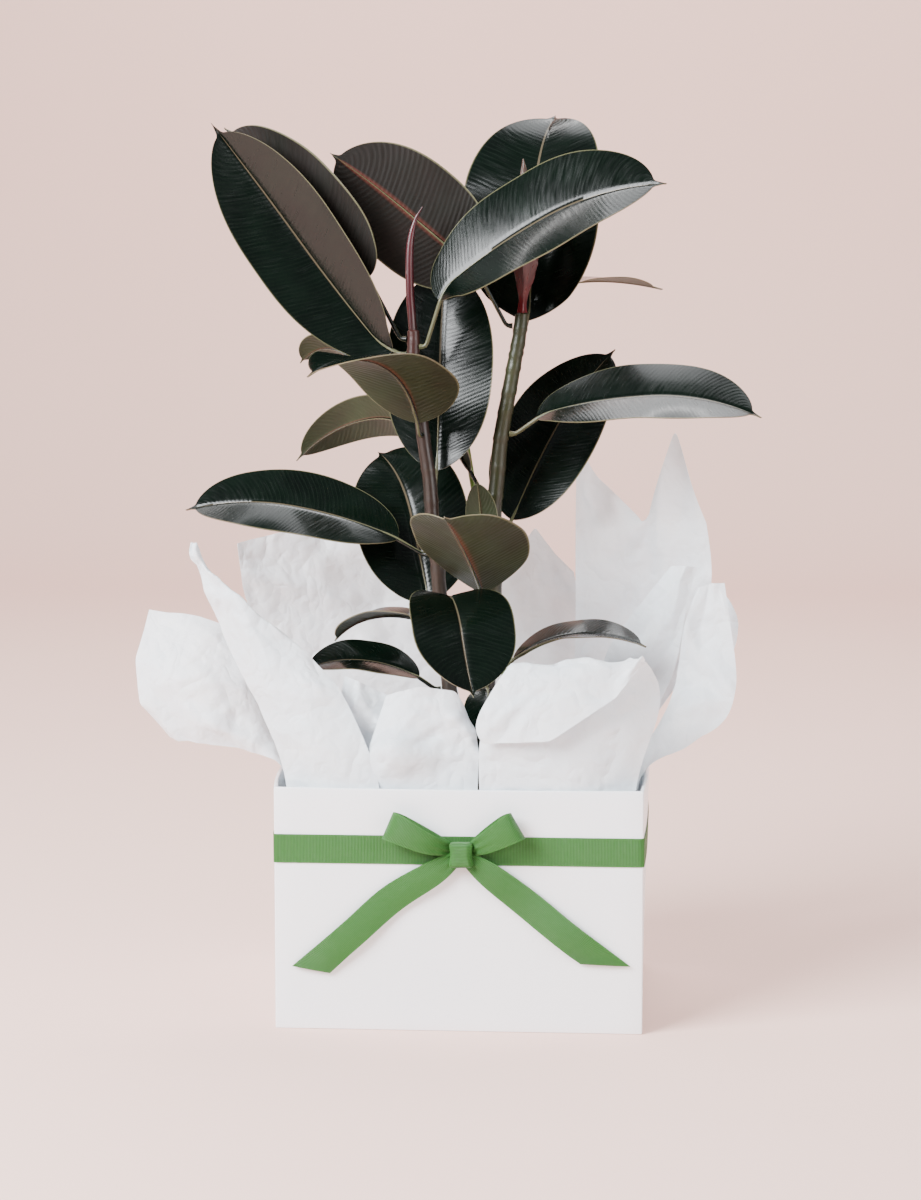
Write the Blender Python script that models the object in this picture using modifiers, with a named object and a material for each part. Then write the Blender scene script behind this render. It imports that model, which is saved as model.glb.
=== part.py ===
"""Potted rubber plant: two stems in a nursery pot, dressed in tissue inside a ribboned gift box.

Units are metres, +Z is up, the front with the bow faces -Y, and the origin is the centre of the
box's underside. The tables below are in millimetres and degrees.
"""
from collections import namedtuple
from math import cos, pi, radians, sin

import bmesh
import bpy
import numpy as np
from mathutils import Vector

MM = 0.001
GAP = 0.4  # clearance between neighbours

# Gift box of folded card
BOX_WIDTH = 280.0
BOX_DEPTH = 230.0
BOX_HEIGHT = 187.0
BOX_WALL = 3.0
BOX_BULGE_LEFT = 8.0
BOX_BULGE_RIGHT = 4.0
BOX_RINGS = (0.0, 65.0, 129.0, 151.0, BOX_HEIGHT)  # stations of the walls; two are the ribbon's edges

# Nursery pot and its soil
POT_TOP_RADIUS = 84.0
POT_FOOT_RADIUS = 62.0
POT_HEIGHT = 146.0
POT_WALL = 1.6
POT_RIM = 3.0
POT_RIM_DROP = 14.0
POT_SIDES = 40
SOIL_TOP = 138.0
SOIL_MOUND = 5.0
SOIL_ROUND = 4.0
SOIL_SIDES = 24

# Ribbon
RIBBON_WIDTH = 22.0
RIBBON_THICKNESS = 0.8
RIBBON_HEIGHT = 140.0

# Leaves and sheets
BLADE_THICKNESS = 1.1
PETIOLE_THICKNESS = 3.2
TISSUE_THICKNESS = 0.8

# Spacing of the stations along swept shapes
STEM_STEP = 20.0
BUD_STEP = 11.0
RIBBON_STEP = 9.0

# Stem centre lines, foot first: x, y, z, radius
STEM_LEFT = [(-8, -20, 90, 6.4), (-9, -20, 180, 6.2), (-13, -20, 241, 6.0), (-19, -20, 310, 5.8),
             (-26, -20, 379, 5.6), (-33, -20, 445, 5.4), (-40, -20, 490, 5.2), (-42, -20, 530, 4.6)]
STEM_RIGHT = [(8, 15, 90, 7.0), (10, 15, 180, 6.8), (15, 15, 262, 6.5), (20, 15, 327, 6.4),
              (20, 15, 396, 6.2), (27, 15, 459, 6.0), (35, 15, 500, 5.8), (41, 15, 543, 5.4)]

# Growing points and the cane: x, y, z, radius
BUD_SHEATH = [(-42, -20, 531, 3.4), (-44, -20, 560, 3.6), (-44, -20, 595, 3.2), (-40, -20, 615, 1.8),
              (-34, -20, 626, 0.5)]
YOUNG_LEAF = [(41, 15, 544, 4.6), (42, 15, 556, 4.0), (44, 15, 575, 9.5), (45, 15, 592, 12.0),
              (45, 15, 625, 9.5), (43, 15, 650, 4.0), (42, 15, 664, 0.6)]
CANE = [(42, 50, 90, 2.6), (42, 50, 150, 2.6), (-8, 58, 455, 2.4)]

# Leaves. Azimuth is 0 towards the front, 90 to the right, -90 to the left. Rise is the slope of
# the midrib above level, and roll turns the upper face to the leaf's own left.
Leaf = namedtuple("Leaf", "stem height azimuth turn petiole petiole_rise length rise_base rise_middle "
                          "rise_tip roll width fold")
LEAVES = [
    Leaf("left", 512, -100, 20, 12, 25, 230, 50, 54, 52, 100, 88, 28),
    Leaf("left", 524, -95, -15, 58, 62, 170, 48, 44, 38, -60, 74, 18),
    Leaf("right", 534, -84, 0, 44, 62, 158, 40, 40, 34, -80, 90, 8),
    Leaf("left", 518, 80, -5, 42, 72, 208, 38, 28, 0, -50, 96, 15),
    Leaf("right", 522, 165, 0, 25, 50, 195, 85, 80, 20, 0, 116, 12),
    Leaf("right", 503, 178, -74, 60, 45, 204, 14, 8, -14, 0, 60, 10),
    Leaf("left", 450, -10, -50, 16, 55, 150, 50, 20, -35, 0, 100, 8),
    Leaf("left", 477, -118, 0, 34, 38, 88, 28, 20, -52, -30, 40, 12),
    Leaf("left", 400, 170, 8, 26, 72, 172, 83, 80, 60, 0, 86, 6),
    Leaf("left", 384, -160, 75, 60, 66, 160, 30, -8, -50, -55, 42, 12),
    Leaf("left", 356, -95, 0, 28, 30, 178, 20, 9, -16, 42, 68, 12),
    Leaf("left", 298, -145, 0, 25, 60, 150, 68, 66, 15, 30, 92, 8),
    Leaf("right", 301, -6, -8, 50, 35, 140, 30, 30, 28, 0, 98, 25),
    Leaf("left", 311, 14, 12, 28, 35, 110, -8, -62, -55, 0, 84, 15),
    Leaf("left", 250, -85, 0, 20, 35, 95, 24, 5, -25, 25, 46, 15),
    Leaf("left", 296, -110, 0, 20, 30, 80, 5, -15, -50, 0, 36, 20),
    Leaf("right", 262, 85, 0, 16, 40, 114, 32, 5, -25, -10, 50, 15),
    Leaf("right", 248, 5, 0, 15, 0, 75, -25, -60, -70, 0, 40, 5),
    Leaf("right", 449, 80, 0, 26, 35, 185, 14, 3, -25, -33, 76, 11),
    Leaf("right", 366, 146, -25, 22, 50, 178, 55, 53, 40, -25, 84, 10),
    Leaf("right", 402, -110, -20, 24, 58, 90, 60, 60, 40, -40, 46, 8),
    Leaf("right", 335, -20, 0, 18, 65, 70, 75, 80, 70, 0, 28, 8),
]
BLADE_ROWS = 10
PETIOLE_ROWS = 3
BLADE_COLUMNS = 4
PETIOLE_FOOT = 1.6  # level stretch where a petiole meets its stem
STEM_TURN_OUT = 7.0  # where a petiole has turned from level to its own rise
BLADE_CURL = 0.12  # how far the halves curl back down towards their edges
DRIP_HALF = 0.07  # half width of the drip tip, as a share of the blade's
DRIP_TIP = 0.94  # where the oval blade ends and the drip tip starts

# Tissue sheets: rows of points from the tucked-in edge to the free edge
TISSUE = {
    "tissue_left_tongue": [
        [(-131, -62, 110), (-131, -40, 110), (-131, -24, 110), (-131, -8, 110)],
        [(-133, -62, 170), (-134, -42, 170), (-135, -24, 170), (-135, -6, 170)],
        [(-138, -60, 197), (-140, -44, 202), (-140, -24, 206), (-140, -6, 208)],
        [(-170, -56, 206), (-176, -64, 238), (-172, -52, 270), (-164, -26, 292)],
        [(-205, -52, 210), (-215, -68, 245), (-214, -58, 280), (-207, -30, 306)],
        [(-231, -45, 214), (-254, -50, 240), (-258, -44, 275), (-250, -28, 312)]],
    "tissue_left_spike": [
        [(-128, -96, 110), (-105, -106, 110), (-80, -110, 110), (-55, -110, 110)],
        [(-131, -94, 190), (-107, -106, 190), (-82, -110, 190), (-57, -110, 190)],
        [(-145, -92, 225), (-122, -108, 222), (-98, -108, 226), (-76, -102, 230)],
        [(-163, -86, 260), (-143, -104, 262), (-118, -100, 264), (-93, -90, 264)],
        [(-184, -80, 298), (-168, -92, 302), (-150, -90, 302), (-135, -80, 300)],
        [(-199, -76, 342), (-194, -80, 336), (-188, -80, 330), (-180, -76, 325)],
        [(-205, -74, 370), (-204, -75, 369), (-203, -75, 368), (-202, -74, 367)]],
    "tissue_back_left": [
        [(-120, 100, 80), (-85, 104, 80), (-45, 105, 80), (-10, 105, 80)],
        [(-130, 102, 192), (-95, 107, 192), (-50, 108, 192), (-8, 108, 192)],
        [(-172, 98, 260), (-118, 112, 260), (-65, 116, 260), (-20, 114, 260)],
        [(-195, 86, 315), (-140, 110, 315), (-85, 118, 315), (-52, 118, 308)],
        [(-196, 80, 355), (-162, 100, 363), (-120, 112, 370), (-76, 115, 345)]],
    "tissue_back_centre": [
        [(4, 107, 80), (30, 109, 80), (60, 109, 80), (85, 109, 80)],
        [(2, 108, 190), (30, 110, 190), (60, 110, 190), (90, 110, 190)],
        [(2, 112, 260), (30, 115, 260), (60, 115, 260), (92, 114, 260)],
        [(8, 112, 300), (32, 114, 310), (60, 116, 310), (86, 114, 300)],
        [(18, 110, 325), (48, 108, 368), (64, 112, 346), (80, 114, 330)]],
    "tissue_back_right": [
        [(60, 98, 80), (80, 103, 80), (100, 104, 80), (118, 102, 80), (130, 90, 80)],
        [(72, 98, 165), (88, 104, 165), (105, 106, 165), (120, 104, 165), (131, 92, 165)],
        [(76, 96, 200), (92, 104, 200), (110, 106, 200), (124, 104, 200), (136, 92, 200)],
        [(83, 86, 262), (105, 100, 262), (130, 106, 262), (155, 100, 258), (180, 84, 255)],
        [(83, 76, 345), (108, 96, 340), (136, 106, 335), (162, 98, 330), (198, 80, 325)],
        [(84, 70, 438), (103, 88, 408), (139, 100, 372), (162, 84, 450), (188, 78, 374)]],
    "tissue_right_strip": [
        [(108, 80, 90), (121, 68, 90), (131, 54, 90)],
        [(100, 84, 172), (118, 72, 172), (132, 54, 172)],
        [(100, 82, 202), (119, 72, 202), (136, 54, 202)],
        [(100, 72, 262), (136, 62, 256), (164, 48, 250)],
        [(128, 64, 300), (150, 56, 300), (171, 46, 300)],
        [(160, 54, 341), (171, 51, 342), (181, 48, 341)]],
    "tissue_right_corner": [
        [(133, 40, 110), (132, 30, 110), (132, 20, 110)],
        [(134, 40, 170), (135, 31, 170), (134, 23, 170)],
        [(137, 40, 200), (138, 31, 200), (138, 23, 200)],
        [(165, 36, 228), (172, 30, 226), (178, 22, 224)],
        [(185, 30, 290), (200, 26, 286), (221, 22, 288)],
        [(190, 28, 326), (198, 24, 324), (206, 20, 318)]],
    "tissue_right": [
        [(133, 10, 110), (132, -15, 110), (131, -42, 110)],
        [(134, 12, 170), (134, -14, 170), (133, -42, 170)],
        [(138, 10, 200), (138, -14, 198), (138, -42, 196)],
        [(160, 2, 228), (168, -14, 218), (180, -30, 209)],
        [(166, 0, 262), (188, -10, 250), (214, -18, 233)],
        [(172, 2, 300), (192, -4, 290), (211, -8, 277)],
        [(181, 4, 329), (192, 4, 332), (202, 2, 333)]],
    "tissue_front_left_inner": [
        [(-95, -96, 110), (-65, -101, 110), (-35, -103, 110)],
        [(-98, -92, 190), (-65, -98, 190), (-30, -100, 190)],
        [(-96, -82, 230), (-68, -86, 230), (-35, -88, 230)],
        [(-90, -74, 267), (-68, -76, 258), (-40, -78, 248)]],
    "tissue_front_left": [
        [(-75, -105, 110), (-45, -107, 110), (-15, -107, 110), (12, -105, 110)],
        [(-78, -105, 190), (-48, -107, 190), (-15, -107, 190), (14, -105, 190)],
        [(-66, -98, 225), (-45, -110, 225), (-18, -110, 225), (16, -102, 222)],
        [(-56, -92, 254), (-30, -100, 263), (-4, -96, 259), (8, -92, 238)]],
    "tissue_front_right": [
        [(18, -110, 110), (60, -110, 110), (100, -109, 110), (128, -98, 110)],
        [(16, -110, 190), (62, -110, 190), (102, -110, 190), (132, -97, 192)],
        [(14, -110, 225), (66, -116, 225), (112, -112, 225), (146, -88, 225)],
        [(28, -104, 262), (70, -110, 262), (118, -106, 262), (156, -82, 259)],
        [(42, -98, 283), (80, -100, 286), (122, -98, 286), (140, -92, 284)],
        [(38, -108, 281), (80, -112, 286), (122, -108, 285), (140, -98, 284)],
        [(8, -118, 236), (50, -124, 252), (100, -118, 268), (138, -104, 281)],
        [(20, -119, 222), (70, -126, 226), (118, -118, 258), (137, -105, 280)]],
}

# Bow: each loop and tail is a strip whose centre line is x, y, z and half its width
BOW_LEFT = [(-4, -119, 141, 5), (-22, -131, 148, 8), (-46, -134, 160, 11), (-52, -127, 161, 11),
            (-44, -120, 157, 11), (-22, -118.5, 148, 8), (-5, -117.5, 141, 5)]
BOW_RIGHT = [(9, -119, 141, 5), (22, -131, 149, 8), (40, -134, 160, 11), (46, -127, 162, 11),
             (38, -120, 158, 11), (22, -118.5, 149, 8), (10, -117.5, 141, 5)]
TAIL_LEFT = [(-7, -119, 128, 6), (-18, -121, 124, 10), (-50, -119, 103, 11), (-80, -121, 76, 11),
             (-112, -118, 47, 11)]
TAIL_RIGHT = [(12, -119, 128, 6), (22, -121, 124, 10), (52, -119, 101, 11), (82, -121, 77, 11),
              (112, -118, 54, 11)]
KNOT_SIZE = (15.0, 13.0, 20.0)
KNOT_PLACE = (3.0, -124.0, 138.5)


def clear_scene():
    for obj in list(bpy.data.objects):
        bpy.data.objects.remove(obj, do_unlink=True)


def collection(name):
    made = bpy.data.collections.new(name)
    bpy.context.scene.collection.children.link(made)
    return made


def material(name, colour, roughness, metallic=0.0):
    mat = bpy.data.materials.new(name)
    mat.use_nodes = True
    shader = mat.node_tree.nodes["Principled BSDF"]
    shader.inputs["Base Color"].default_value = (*colour, 1.0)
    shader.inputs["Roughness"].default_value = roughness
    shader.inputs["Metallic"].default_value = metallic
    return mat


def object_from_bmesh(bm, name, mat, group):
    mesh = bpy.data.meshes.new(name)
    bm.to_mesh(mesh)
    bm.free()
    obj = bpy.data.objects.new(name, mesh)
    obj.data.materials.append(mat)
    group.objects.link(obj)
    return obj


def grid_of_points(rows, name, mat, group):
    """An open sheet: a grid primitive whose corners are laid on rows of points in millimetres."""
    bm = bmesh.new()
    bmesh.ops.create_grid(bm, x_segments=len(rows[0]) - 1, y_segments=len(rows) - 1, size=1.0)
    corners = sorted(bm.verts, key=lambda v: (round(v.co.y, 4), round(v.co.x, 4)))
    flat = [point for row in rows for point in row]
    for corner, point in zip(corners, flat):
        corner.co = Vector(point) * MM
    return object_from_bmesh(bm, name, mat, group)


def add_solidify(obj, thickness, offset=0.0):
    shell = obj.modifiers.new("thickness", "SOLIDIFY")
    shell.thickness = thickness * MM
    shell.offset = offset
    shell.use_even_offset = False
    return shell


def add_subdivision(obj, levels):
    smooth = obj.modifiers.new("smooth", "SUBSURF")
    smooth.levels = levels
    smooth.render_levels = levels
    smooth.boundary_smooth = "PRESERVE_CORNERS"


def smooth_path(points, step):
    """Points every step or so along a Catmull-Rom curve through the given ones."""
    path = np.array(points, dtype=float)
    padded = np.vstack([2 * path[0] - path[1], path, 2 * path[-1] - path[-2]])
    out = []
    for i in range(len(path) - 1):
        p0, p1, p2, p3 = padded[i:i + 4]
        count = max(1, round(np.linalg.norm(p2[:3] - p1[:3]) / step))
        for t in np.arange(count) / count:
            out.append(0.5 * (2 * p1 + (p2 - p0) * t + (2 * p0 - 5 * p1 + 4 * p2 - p3) * t ** 2
                              + (3 * p1 - p0 - 3 * p2 + p3) * t ** 3))
    out.append(path[-1])
    return out


def tube(points, name, mat, group, sides=2):
    """A closed round tube along points of x, y, z, radius in millimetres."""
    curve = bpy.data.curves.new(name, "CURVE")
    curve.dimensions = "3D"
    curve.bevel_depth = MM
    curve.bevel_resolution = sides
    curve.use_fill_caps = True
    line = curve.splines.new("POLY")
    line.points.add(len(points) - 1)
    for spot, (x, y, z, radius) in zip(line.points, points):
        spot.co = (x * MM, y * MM, z * MM, 1.0)
        spot.radius = radius
    obj = bpy.data.objects.new(name, curve)
    obj.data.materials.append(mat)
    group.objects.link(obj)
    return obj


def turned(profile, sides, name, mat, group):
    """A turned shape from an outline of radius, height pairs that starts and ends on the axis."""
    mesh = bpy.data.meshes.new(name)
    edges = [(i, i + 1) for i in range(len(profile) - 1)]
    mesh.from_pydata([(r * MM, 0.0, z * MM) for r, z in profile], edges, [])
    obj = bpy.data.objects.new(name, mesh)
    obj.data.materials.append(mat)
    group.objects.link(obj)
    screw = obj.modifiers.new("turn", "SCREW")
    screw.steps = sides
    screw.render_steps = sides
    screw.use_merge_vertices = True
    screw.merge_threshold = 0.00001
    return obj


def box_bulge(side, y, z):
    """How far a side wall bows out, in millimetres: most at the middle of its rim."""
    bulge = BOX_BULGE_LEFT if side < 0 else BOX_BULGE_RIGHT
    return side * bulge * (1 - (2 * y / BOX_DEPTH) ** 2) * (z / BOX_HEIGHT) ** 1.5


def box_outline(z, out):
    """The box's outline at height z, out millimetres proud of it, as a closed ring of x, y."""
    half_w = BOX_WIDTH / 2 + out
    half_d = BOX_DEPTH / 2 + out
    stations = [-1, -0.5, 0, 0.5, 1]
    right = [(half_w + box_bulge(1, s * BOX_DEPTH / 2, z), s * half_d) for s in stations]
    left = [(-half_w + box_bulge(-1, s * BOX_DEPTH / 2, z), s * half_d) for s in reversed(stations)]
    return right + left


def ring_walls(bm, heights, out):
    """Rings of the box's outline at each height, joined into walls. Returns the rings."""
    rings = []
    for z in heights:
        rings.append([bm.verts.new(Vector((x, y, z)) * MM) for x, y in box_outline(z, out)])
    for lower, upper in zip(rings, rings[1:]):
        for i in range(len(lower)):
            j = (i + 1) % len(lower)
            bm.faces.new((lower[i], lower[j], upper[j], upper[i]))
    return rings


def make_gift_box(mat, group):
    bm = bmesh.new()
    rings = ring_walls(bm, BOX_RINGS, 0.0)
    bm.faces.new(list(reversed(rings[0])))
    box = object_from_bmesh(bm, "gift_box", mat, group)
    shell = add_solidify(box, BOX_WALL, -1.0)
    shell.use_even_offset = True


def make_ribbon_band(mat, group):
    bm = bmesh.new()
    low = RIBBON_HEIGHT - RIBBON_WIDTH / 2
    ring_walls(bm, [low, low + RIBBON_WIDTH], GAP)
    band = object_from_bmesh(bm, "ribbon_band", mat, group)
    add_solidify(band, RIBBON_THICKNESS, 1.0).use_even_offset = True


def make_pot(mat, group):
    base = BOX_WALL + GAP
    top = base + POT_HEIGHT
    rim_foot = top - POT_RIM_DROP
    slope = (POT_TOP_RADIUS - POT_FOOT_RADIUS) / POT_HEIGHT
    rim_radius = POT_TOP_RADIUS + POT_RIM
    inner = POT_TOP_RADIUS - POT_WALL
    profile = [(0, base + POT_WALL), (POT_FOOT_RADIUS - POT_WALL, base + POT_WALL), (inner, top),
               (rim_radius, top), (rim_radius, rim_foot), (POT_TOP_RADIUS - slope * POT_RIM_DROP, rim_foot),
               (POT_FOOT_RADIUS, base), (0, base)]
    return turned(profile, POT_SIDES, "nursery_pot", mat, group)


def pot_inner_radius(z):
    """Radius of the pot's inner wall at height z above the ground."""
    floor = BOX_WALL + GAP + POT_WALL
    share = (z - floor) / (POT_HEIGHT - POT_WALL)
    return POT_FOOT_RADIUS - POT_WALL + (POT_TOP_RADIUS - POT_FOOT_RADIUS) * share


def make_soil(mat, group, cutters):
    base = BOX_WALL + GAP + POT_WALL + GAP
    foot = pot_inner_radius(base) - 2 * GAP
    brim = pot_inner_radius(SOIL_TOP - SOIL_ROUND) - 2 * GAP
    profile = [(0, SOIL_TOP + SOIL_MOUND), (brim * 0.5, SOIL_TOP + 0.8 * SOIL_MOUND), (brim * 0.9, SOIL_TOP),
               (brim, SOIL_TOP - SOIL_ROUND), (foot, base), (0, base)]
    soil = turned(profile, SOIL_SIDES, "potting_soil", mat, group)
    for path in (STEM_LEFT, STEM_RIGHT, CANE):
        wide = [(x, y, z - GAP if i == 0 else z, r + GAP) for i, (x, y, z, r) in enumerate(path)]
        hole = tube(smooth_path(wide, STEM_STEP), "soil_hole", mat, cutters, sides=4)
        hole = mesh_copy(hole, cutters)
        hole.hide_render = True
        hole.display_type = "WIRE"
        cut = soil.modifiers.new("hole", "BOOLEAN")
        cut.operation = "DIFFERENCE"
        cut.object = hole


def mesh_copy(curve_obj, group):
    """Turn a curve object into a closed mesh object of the same name."""
    graph = bpy.context.evaluated_depsgraph_get()
    mesh = bpy.data.meshes.new_from_object(curve_obj.evaluated_get(graph))
    bm = bmesh.new()
    bm.from_mesh(mesh)
    bmesh.ops.remove_doubles(bm, verts=bm.verts, dist=0.00001)
    bm.to_mesh(mesh)
    bm.free()
    made = bpy.data.objects.new(curve_obj.name + "_mesh", mesh)
    made.matrix_world = curve_obj.matrix_world
    group.objects.link(made)
    bpy.data.objects.remove(curve_obj, do_unlink=True)
    return made


def stem_at(stem, height):
    """Centre and radius of a stem at a height."""
    path = np.array(STEM_LEFT if stem == "left" else STEM_RIGHT, dtype=float)
    fine = np.array(smooth_path(path, STEM_STEP))
    x, y, radius = (np.interp(height, fine[:, 2], fine[:, k]) for k in (0, 1, 3))
    return np.array([x, y, height]), radius


def heading(azimuth):
    """Level unit vector that points along an azimuth."""
    return np.array([sin(radians(azimuth)), -cos(radians(azimuth)), 0.0])


def blade_share(t):
    """Share of the full half width at t along the blade, base 0 to tip 1."""
    oval = (1 - abs(2 * min(t / DRIP_TIP, 1.0) - 1) ** 2.4) ** 0.62
    drip = DRIP_HALF * min(1.0, (1 - t) / 0.1)
    return max(oval, drip)


def leaf_frames(leaf):
    """Stations along a leaf from stem to tip: place, side, face and half width."""
    foot, radius = stem_at(leaf.stem, leaf.height)
    total = leaf.petiole + leaf.length
    petiole_marks = np.linspace(PETIOLE_FOOT, leaf.petiole, PETIOLE_ROWS)[:-1]
    blade_marks = leaf.petiole + leaf.length * (0.5 - 0.5 * np.cos(np.linspace(0.0, pi, BLADE_ROWS + 1)))
    marks = np.concatenate([[0.0], petiole_marks, blade_marks])
    knots = [0.0, PETIOLE_FOOT, STEM_TURN_OUT, leaf.petiole, leaf.petiole + leaf.length * 0.1,
             leaf.petiole + leaf.length * 0.5, total]
    rises = [0.0, 0.0, leaf.petiole_rise, leaf.petiole_rise, leaf.rise_base, leaf.rise_middle,
             leaf.rise_tip]
    place = foot + heading(leaf.azimuth) * (radius + GAP)
    fine = np.linspace(0.0, total, 481)
    step = fine[1]
    frames = []
    for s in fine:
        t = max(0.0, (s - leaf.petiole) / leaf.length)
        ahead = heading(leaf.azimuth + leaf.turn * t)
        rise = radians(np.interp(s, knots, rises))
        roll = radians(leaf.roll) * min(1.0, s / leaf.petiole)
        tangent = cos(rise) * ahead + sin(rise) * np.array([0.0, 0.0, 1.0])
        upward = -sin(rise) * ahead + cos(rise) * np.array([0.0, 0.0, 1.0])
        left_hand = np.cross(upward, tangent)
        face = cos(roll) * upward + sin(roll) * left_hand
        side = np.cross(tangent, face)
        frames.append((place.copy(), side, face))
        place = place + tangent * step
    out = []
    for mark in marks:
        t = (mark - leaf.petiole) / leaf.length
        half = PETIOLE_THICKNESS / 2 if t < 0 else max(leaf.width / 2 * blade_share(t), 0.5)
        if t == 0.0:
            half = PETIOLE_THICKNESS / 2
        out.append((*frames[int(round(mark / step))], half))
    return out


def make_leaf(number, leaf, mat, group):
    rows = []
    for place, side, face, half in leaf_frames(leaf):
        row = []
        for q in np.linspace(-1.0, 1.0, BLADE_COLUMNS + 1):
            reach = abs(q) * half
            lift = reach * sin(radians(leaf.fold)) - BLADE_CURL * reach ** 2 / leaf.width
            if half <= PETIOLE_THICKNESS / 2:
                lift = 0.0
            row.append(place + side * q * half * cos(radians(leaf.fold)) + face * lift)
        rows.append(row)
    obj = grid_of_points(rows, f"leaf_{number:02d}", mat, group)
    thick = obj.vertex_groups.new(name="petiole")
    columns = BLADE_COLUMNS + 1
    thick.add(list(range(columns * PETIOLE_ROWS)), 1.0, "REPLACE")
    shell = add_solidify(obj, PETIOLE_THICKNESS)
    shell.vertex_group = "petiole"
    shell.thickness_vertex_group = BLADE_THICKNESS / PETIOLE_THICKNESS


def make_tissue(name, rows, mat, group):
    sheet = grid_of_points(rows, name, mat, group)
    add_subdivision(sheet, 1)
    add_solidify(sheet, TISSUE_THICKNESS)


def make_strip(name, points, mat, group):
    """A ribbon strip whose width stands across its centre line in the plane of the box's front."""
    path = smooth_path(points, RIBBON_STEP)
    rows = []
    first = np.array(points[0][:3])
    far = max(path, key=lambda p: np.linalg.norm(p[:3] - first))[:3]
    along = far - first
    across = np.array([-along[2], 0.0, along[0]])
    across = across / np.linalg.norm(across)
    for station in path:
        place, half = station[:3], station[3]
        rows.append([place - across * half, place, place + across * half])
    strip = grid_of_points(rows, name, mat, group)
    add_solidify(strip, RIBBON_THICKNESS)


def make_knot(mat, group):
    bm = bmesh.new()
    bmesh.ops.create_cube(bm, size=1.0)
    size = [side * MM for side in KNOT_SIZE]
    bmesh.ops.scale(bm, vec=size, verts=bm.verts)
    bmesh.ops.translate(bm, vec=Vector(KNOT_PLACE) * MM, verts=bm.verts)
    knot = object_from_bmesh(bm, "bow_knot", mat, group)
    add_subdivision(knot, 2)


def main():
    clear_scene()
    group = collection("potted_rubber_plant")
    cutters = collection("cutters")
    card = material("white_card", (0.86, 0.87, 0.88), 0.35)
    plastic = material("pot_plastic", (0.05, 0.05, 0.05), 0.5)
    soil = material("soil", (0.06, 0.04, 0.03), 0.95)
    bark = material("stem_bark", (0.10, 0.09, 0.04), 0.5)
    blade = material("leaf_blade", (0.012, 0.035, 0.022), 0.25)
    red = material("bud_red", (0.22, 0.02, 0.03), 0.35)
    cane = material("cane_green", (0.16, 0.30, 0.04), 0.4)
    tissue = material("tissue_paper", (0.85, 0.88, 0.90), 0.7)
    ribbon = material("ribbon_green", (0.06, 0.26, 0.07), 0.6)

    make_gift_box(card, group)
    make_pot(plastic, group)
    make_soil(soil, group, cutters)
    tube(smooth_path(STEM_LEFT, STEM_STEP), "stem_left", bark, group)
    tube(smooth_path(STEM_RIGHT, STEM_STEP), "stem_right", bark, group)
    tube(smooth_path(BUD_SHEATH, BUD_STEP), "bud_sheath", red, group)
    tube(smooth_path(YOUNG_LEAF, BUD_STEP), "young_leaf", red, group)
    tube(smooth_path(CANE, STEM_STEP), "support_cane", cane, group)
    for number, leaf in enumerate(LEAVES, start=1):
        make_leaf(number, leaf, blade, group)
    for name, rows in TISSUE.items():
        make_tissue(name, rows, tissue, group)
    make_ribbon_band(ribbon, group)
    make_strip("bow_loop_left", BOW_LEFT, ribbon, group)
    make_strip("bow_loop_right", BOW_RIGHT, ribbon, group)
    make_strip("bow_tail_left", TAIL_LEFT, ribbon, group)
    make_strip("bow_tail_right", TAIL_RIGHT, ribbon, group)
    make_knot(ribbon, group)


main()
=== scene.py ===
# %% [markdown]
# # A potted rubber plant in a ribboned gift box
# A rubber plant with two stems stands in a plastic nursery pot. The pot is wrapped in white tissue
# and set in an open box of glossy white card, which is tied with a green grosgrain ribbon.
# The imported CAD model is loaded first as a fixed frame. Each piece made below takes the place of one
# of its nodes, in the same spot, with the finer shape and the surface of the real thing.

from collections import namedtuple
from math import cos, pi, radians, sin

import bpy
import numpy as np
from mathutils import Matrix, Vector


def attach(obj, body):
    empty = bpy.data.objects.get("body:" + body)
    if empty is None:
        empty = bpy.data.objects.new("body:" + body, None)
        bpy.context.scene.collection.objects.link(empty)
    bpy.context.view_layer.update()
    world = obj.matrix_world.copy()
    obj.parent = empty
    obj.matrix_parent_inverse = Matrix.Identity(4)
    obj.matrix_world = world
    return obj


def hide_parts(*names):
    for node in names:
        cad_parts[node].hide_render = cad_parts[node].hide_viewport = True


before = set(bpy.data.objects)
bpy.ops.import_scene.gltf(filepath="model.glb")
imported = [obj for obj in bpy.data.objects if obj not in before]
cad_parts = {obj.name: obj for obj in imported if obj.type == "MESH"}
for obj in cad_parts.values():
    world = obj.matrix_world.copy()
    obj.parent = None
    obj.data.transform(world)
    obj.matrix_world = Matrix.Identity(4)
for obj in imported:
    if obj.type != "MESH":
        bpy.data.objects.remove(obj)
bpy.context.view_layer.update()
MM = 0.001

# %% [markdown]
# ## Camera
# The camera stands a little above the middle of the foliage, about two metres away, so the box is
# seen from slightly above and the top leaves from about their own height. A long lens at that
# distance keeps the box's upright edges nearly parallel, which a close wide lens wouldn't.

# %% Place the camera
CAMERA_LENS, CAMERA_PLACE = 82.62, (0.145, -2.161, 0.5516)
CAMERA_DOWN, CAMERA_TURN = radians(6.148), radians(4.0)
camera_data = bpy.data.cameras.new("camera")
camera_data.lens = CAMERA_LENS
camera = bpy.data.objects.new("camera", camera_data)
camera.location = CAMERA_PLACE
camera.rotation_euler = (pi / 2 - CAMERA_DOWN, 0.0, CAMERA_TURN)
bpy.context.scene.collection.objects.link(camera)
bpy.context.scene.camera = camera
print("camera at", tuple(round(v, 3) for v in camera.location))

# %% [markdown]
# ## Working by hand, in code
# Each piece is made the way a hand would make it: add a primitive, shape it in edit mode, finish it
# with modifiers, apply them. An operator acts on whatever is selected, so the helpers below clear
# the selection before each primitive and select one object alone before each operator.


# %% Helpers for selecting and finishing
def select_only(piece):
    """Make one object the only selected and active one, in object mode."""
    if bpy.context.object and bpy.context.object.mode != "OBJECT":
        bpy.ops.object.mode_set(mode="OBJECT")
    bpy.ops.object.select_all(action="DESELECT")
    piece.select_set(True)
    bpy.context.view_layer.objects.active = piece


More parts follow.
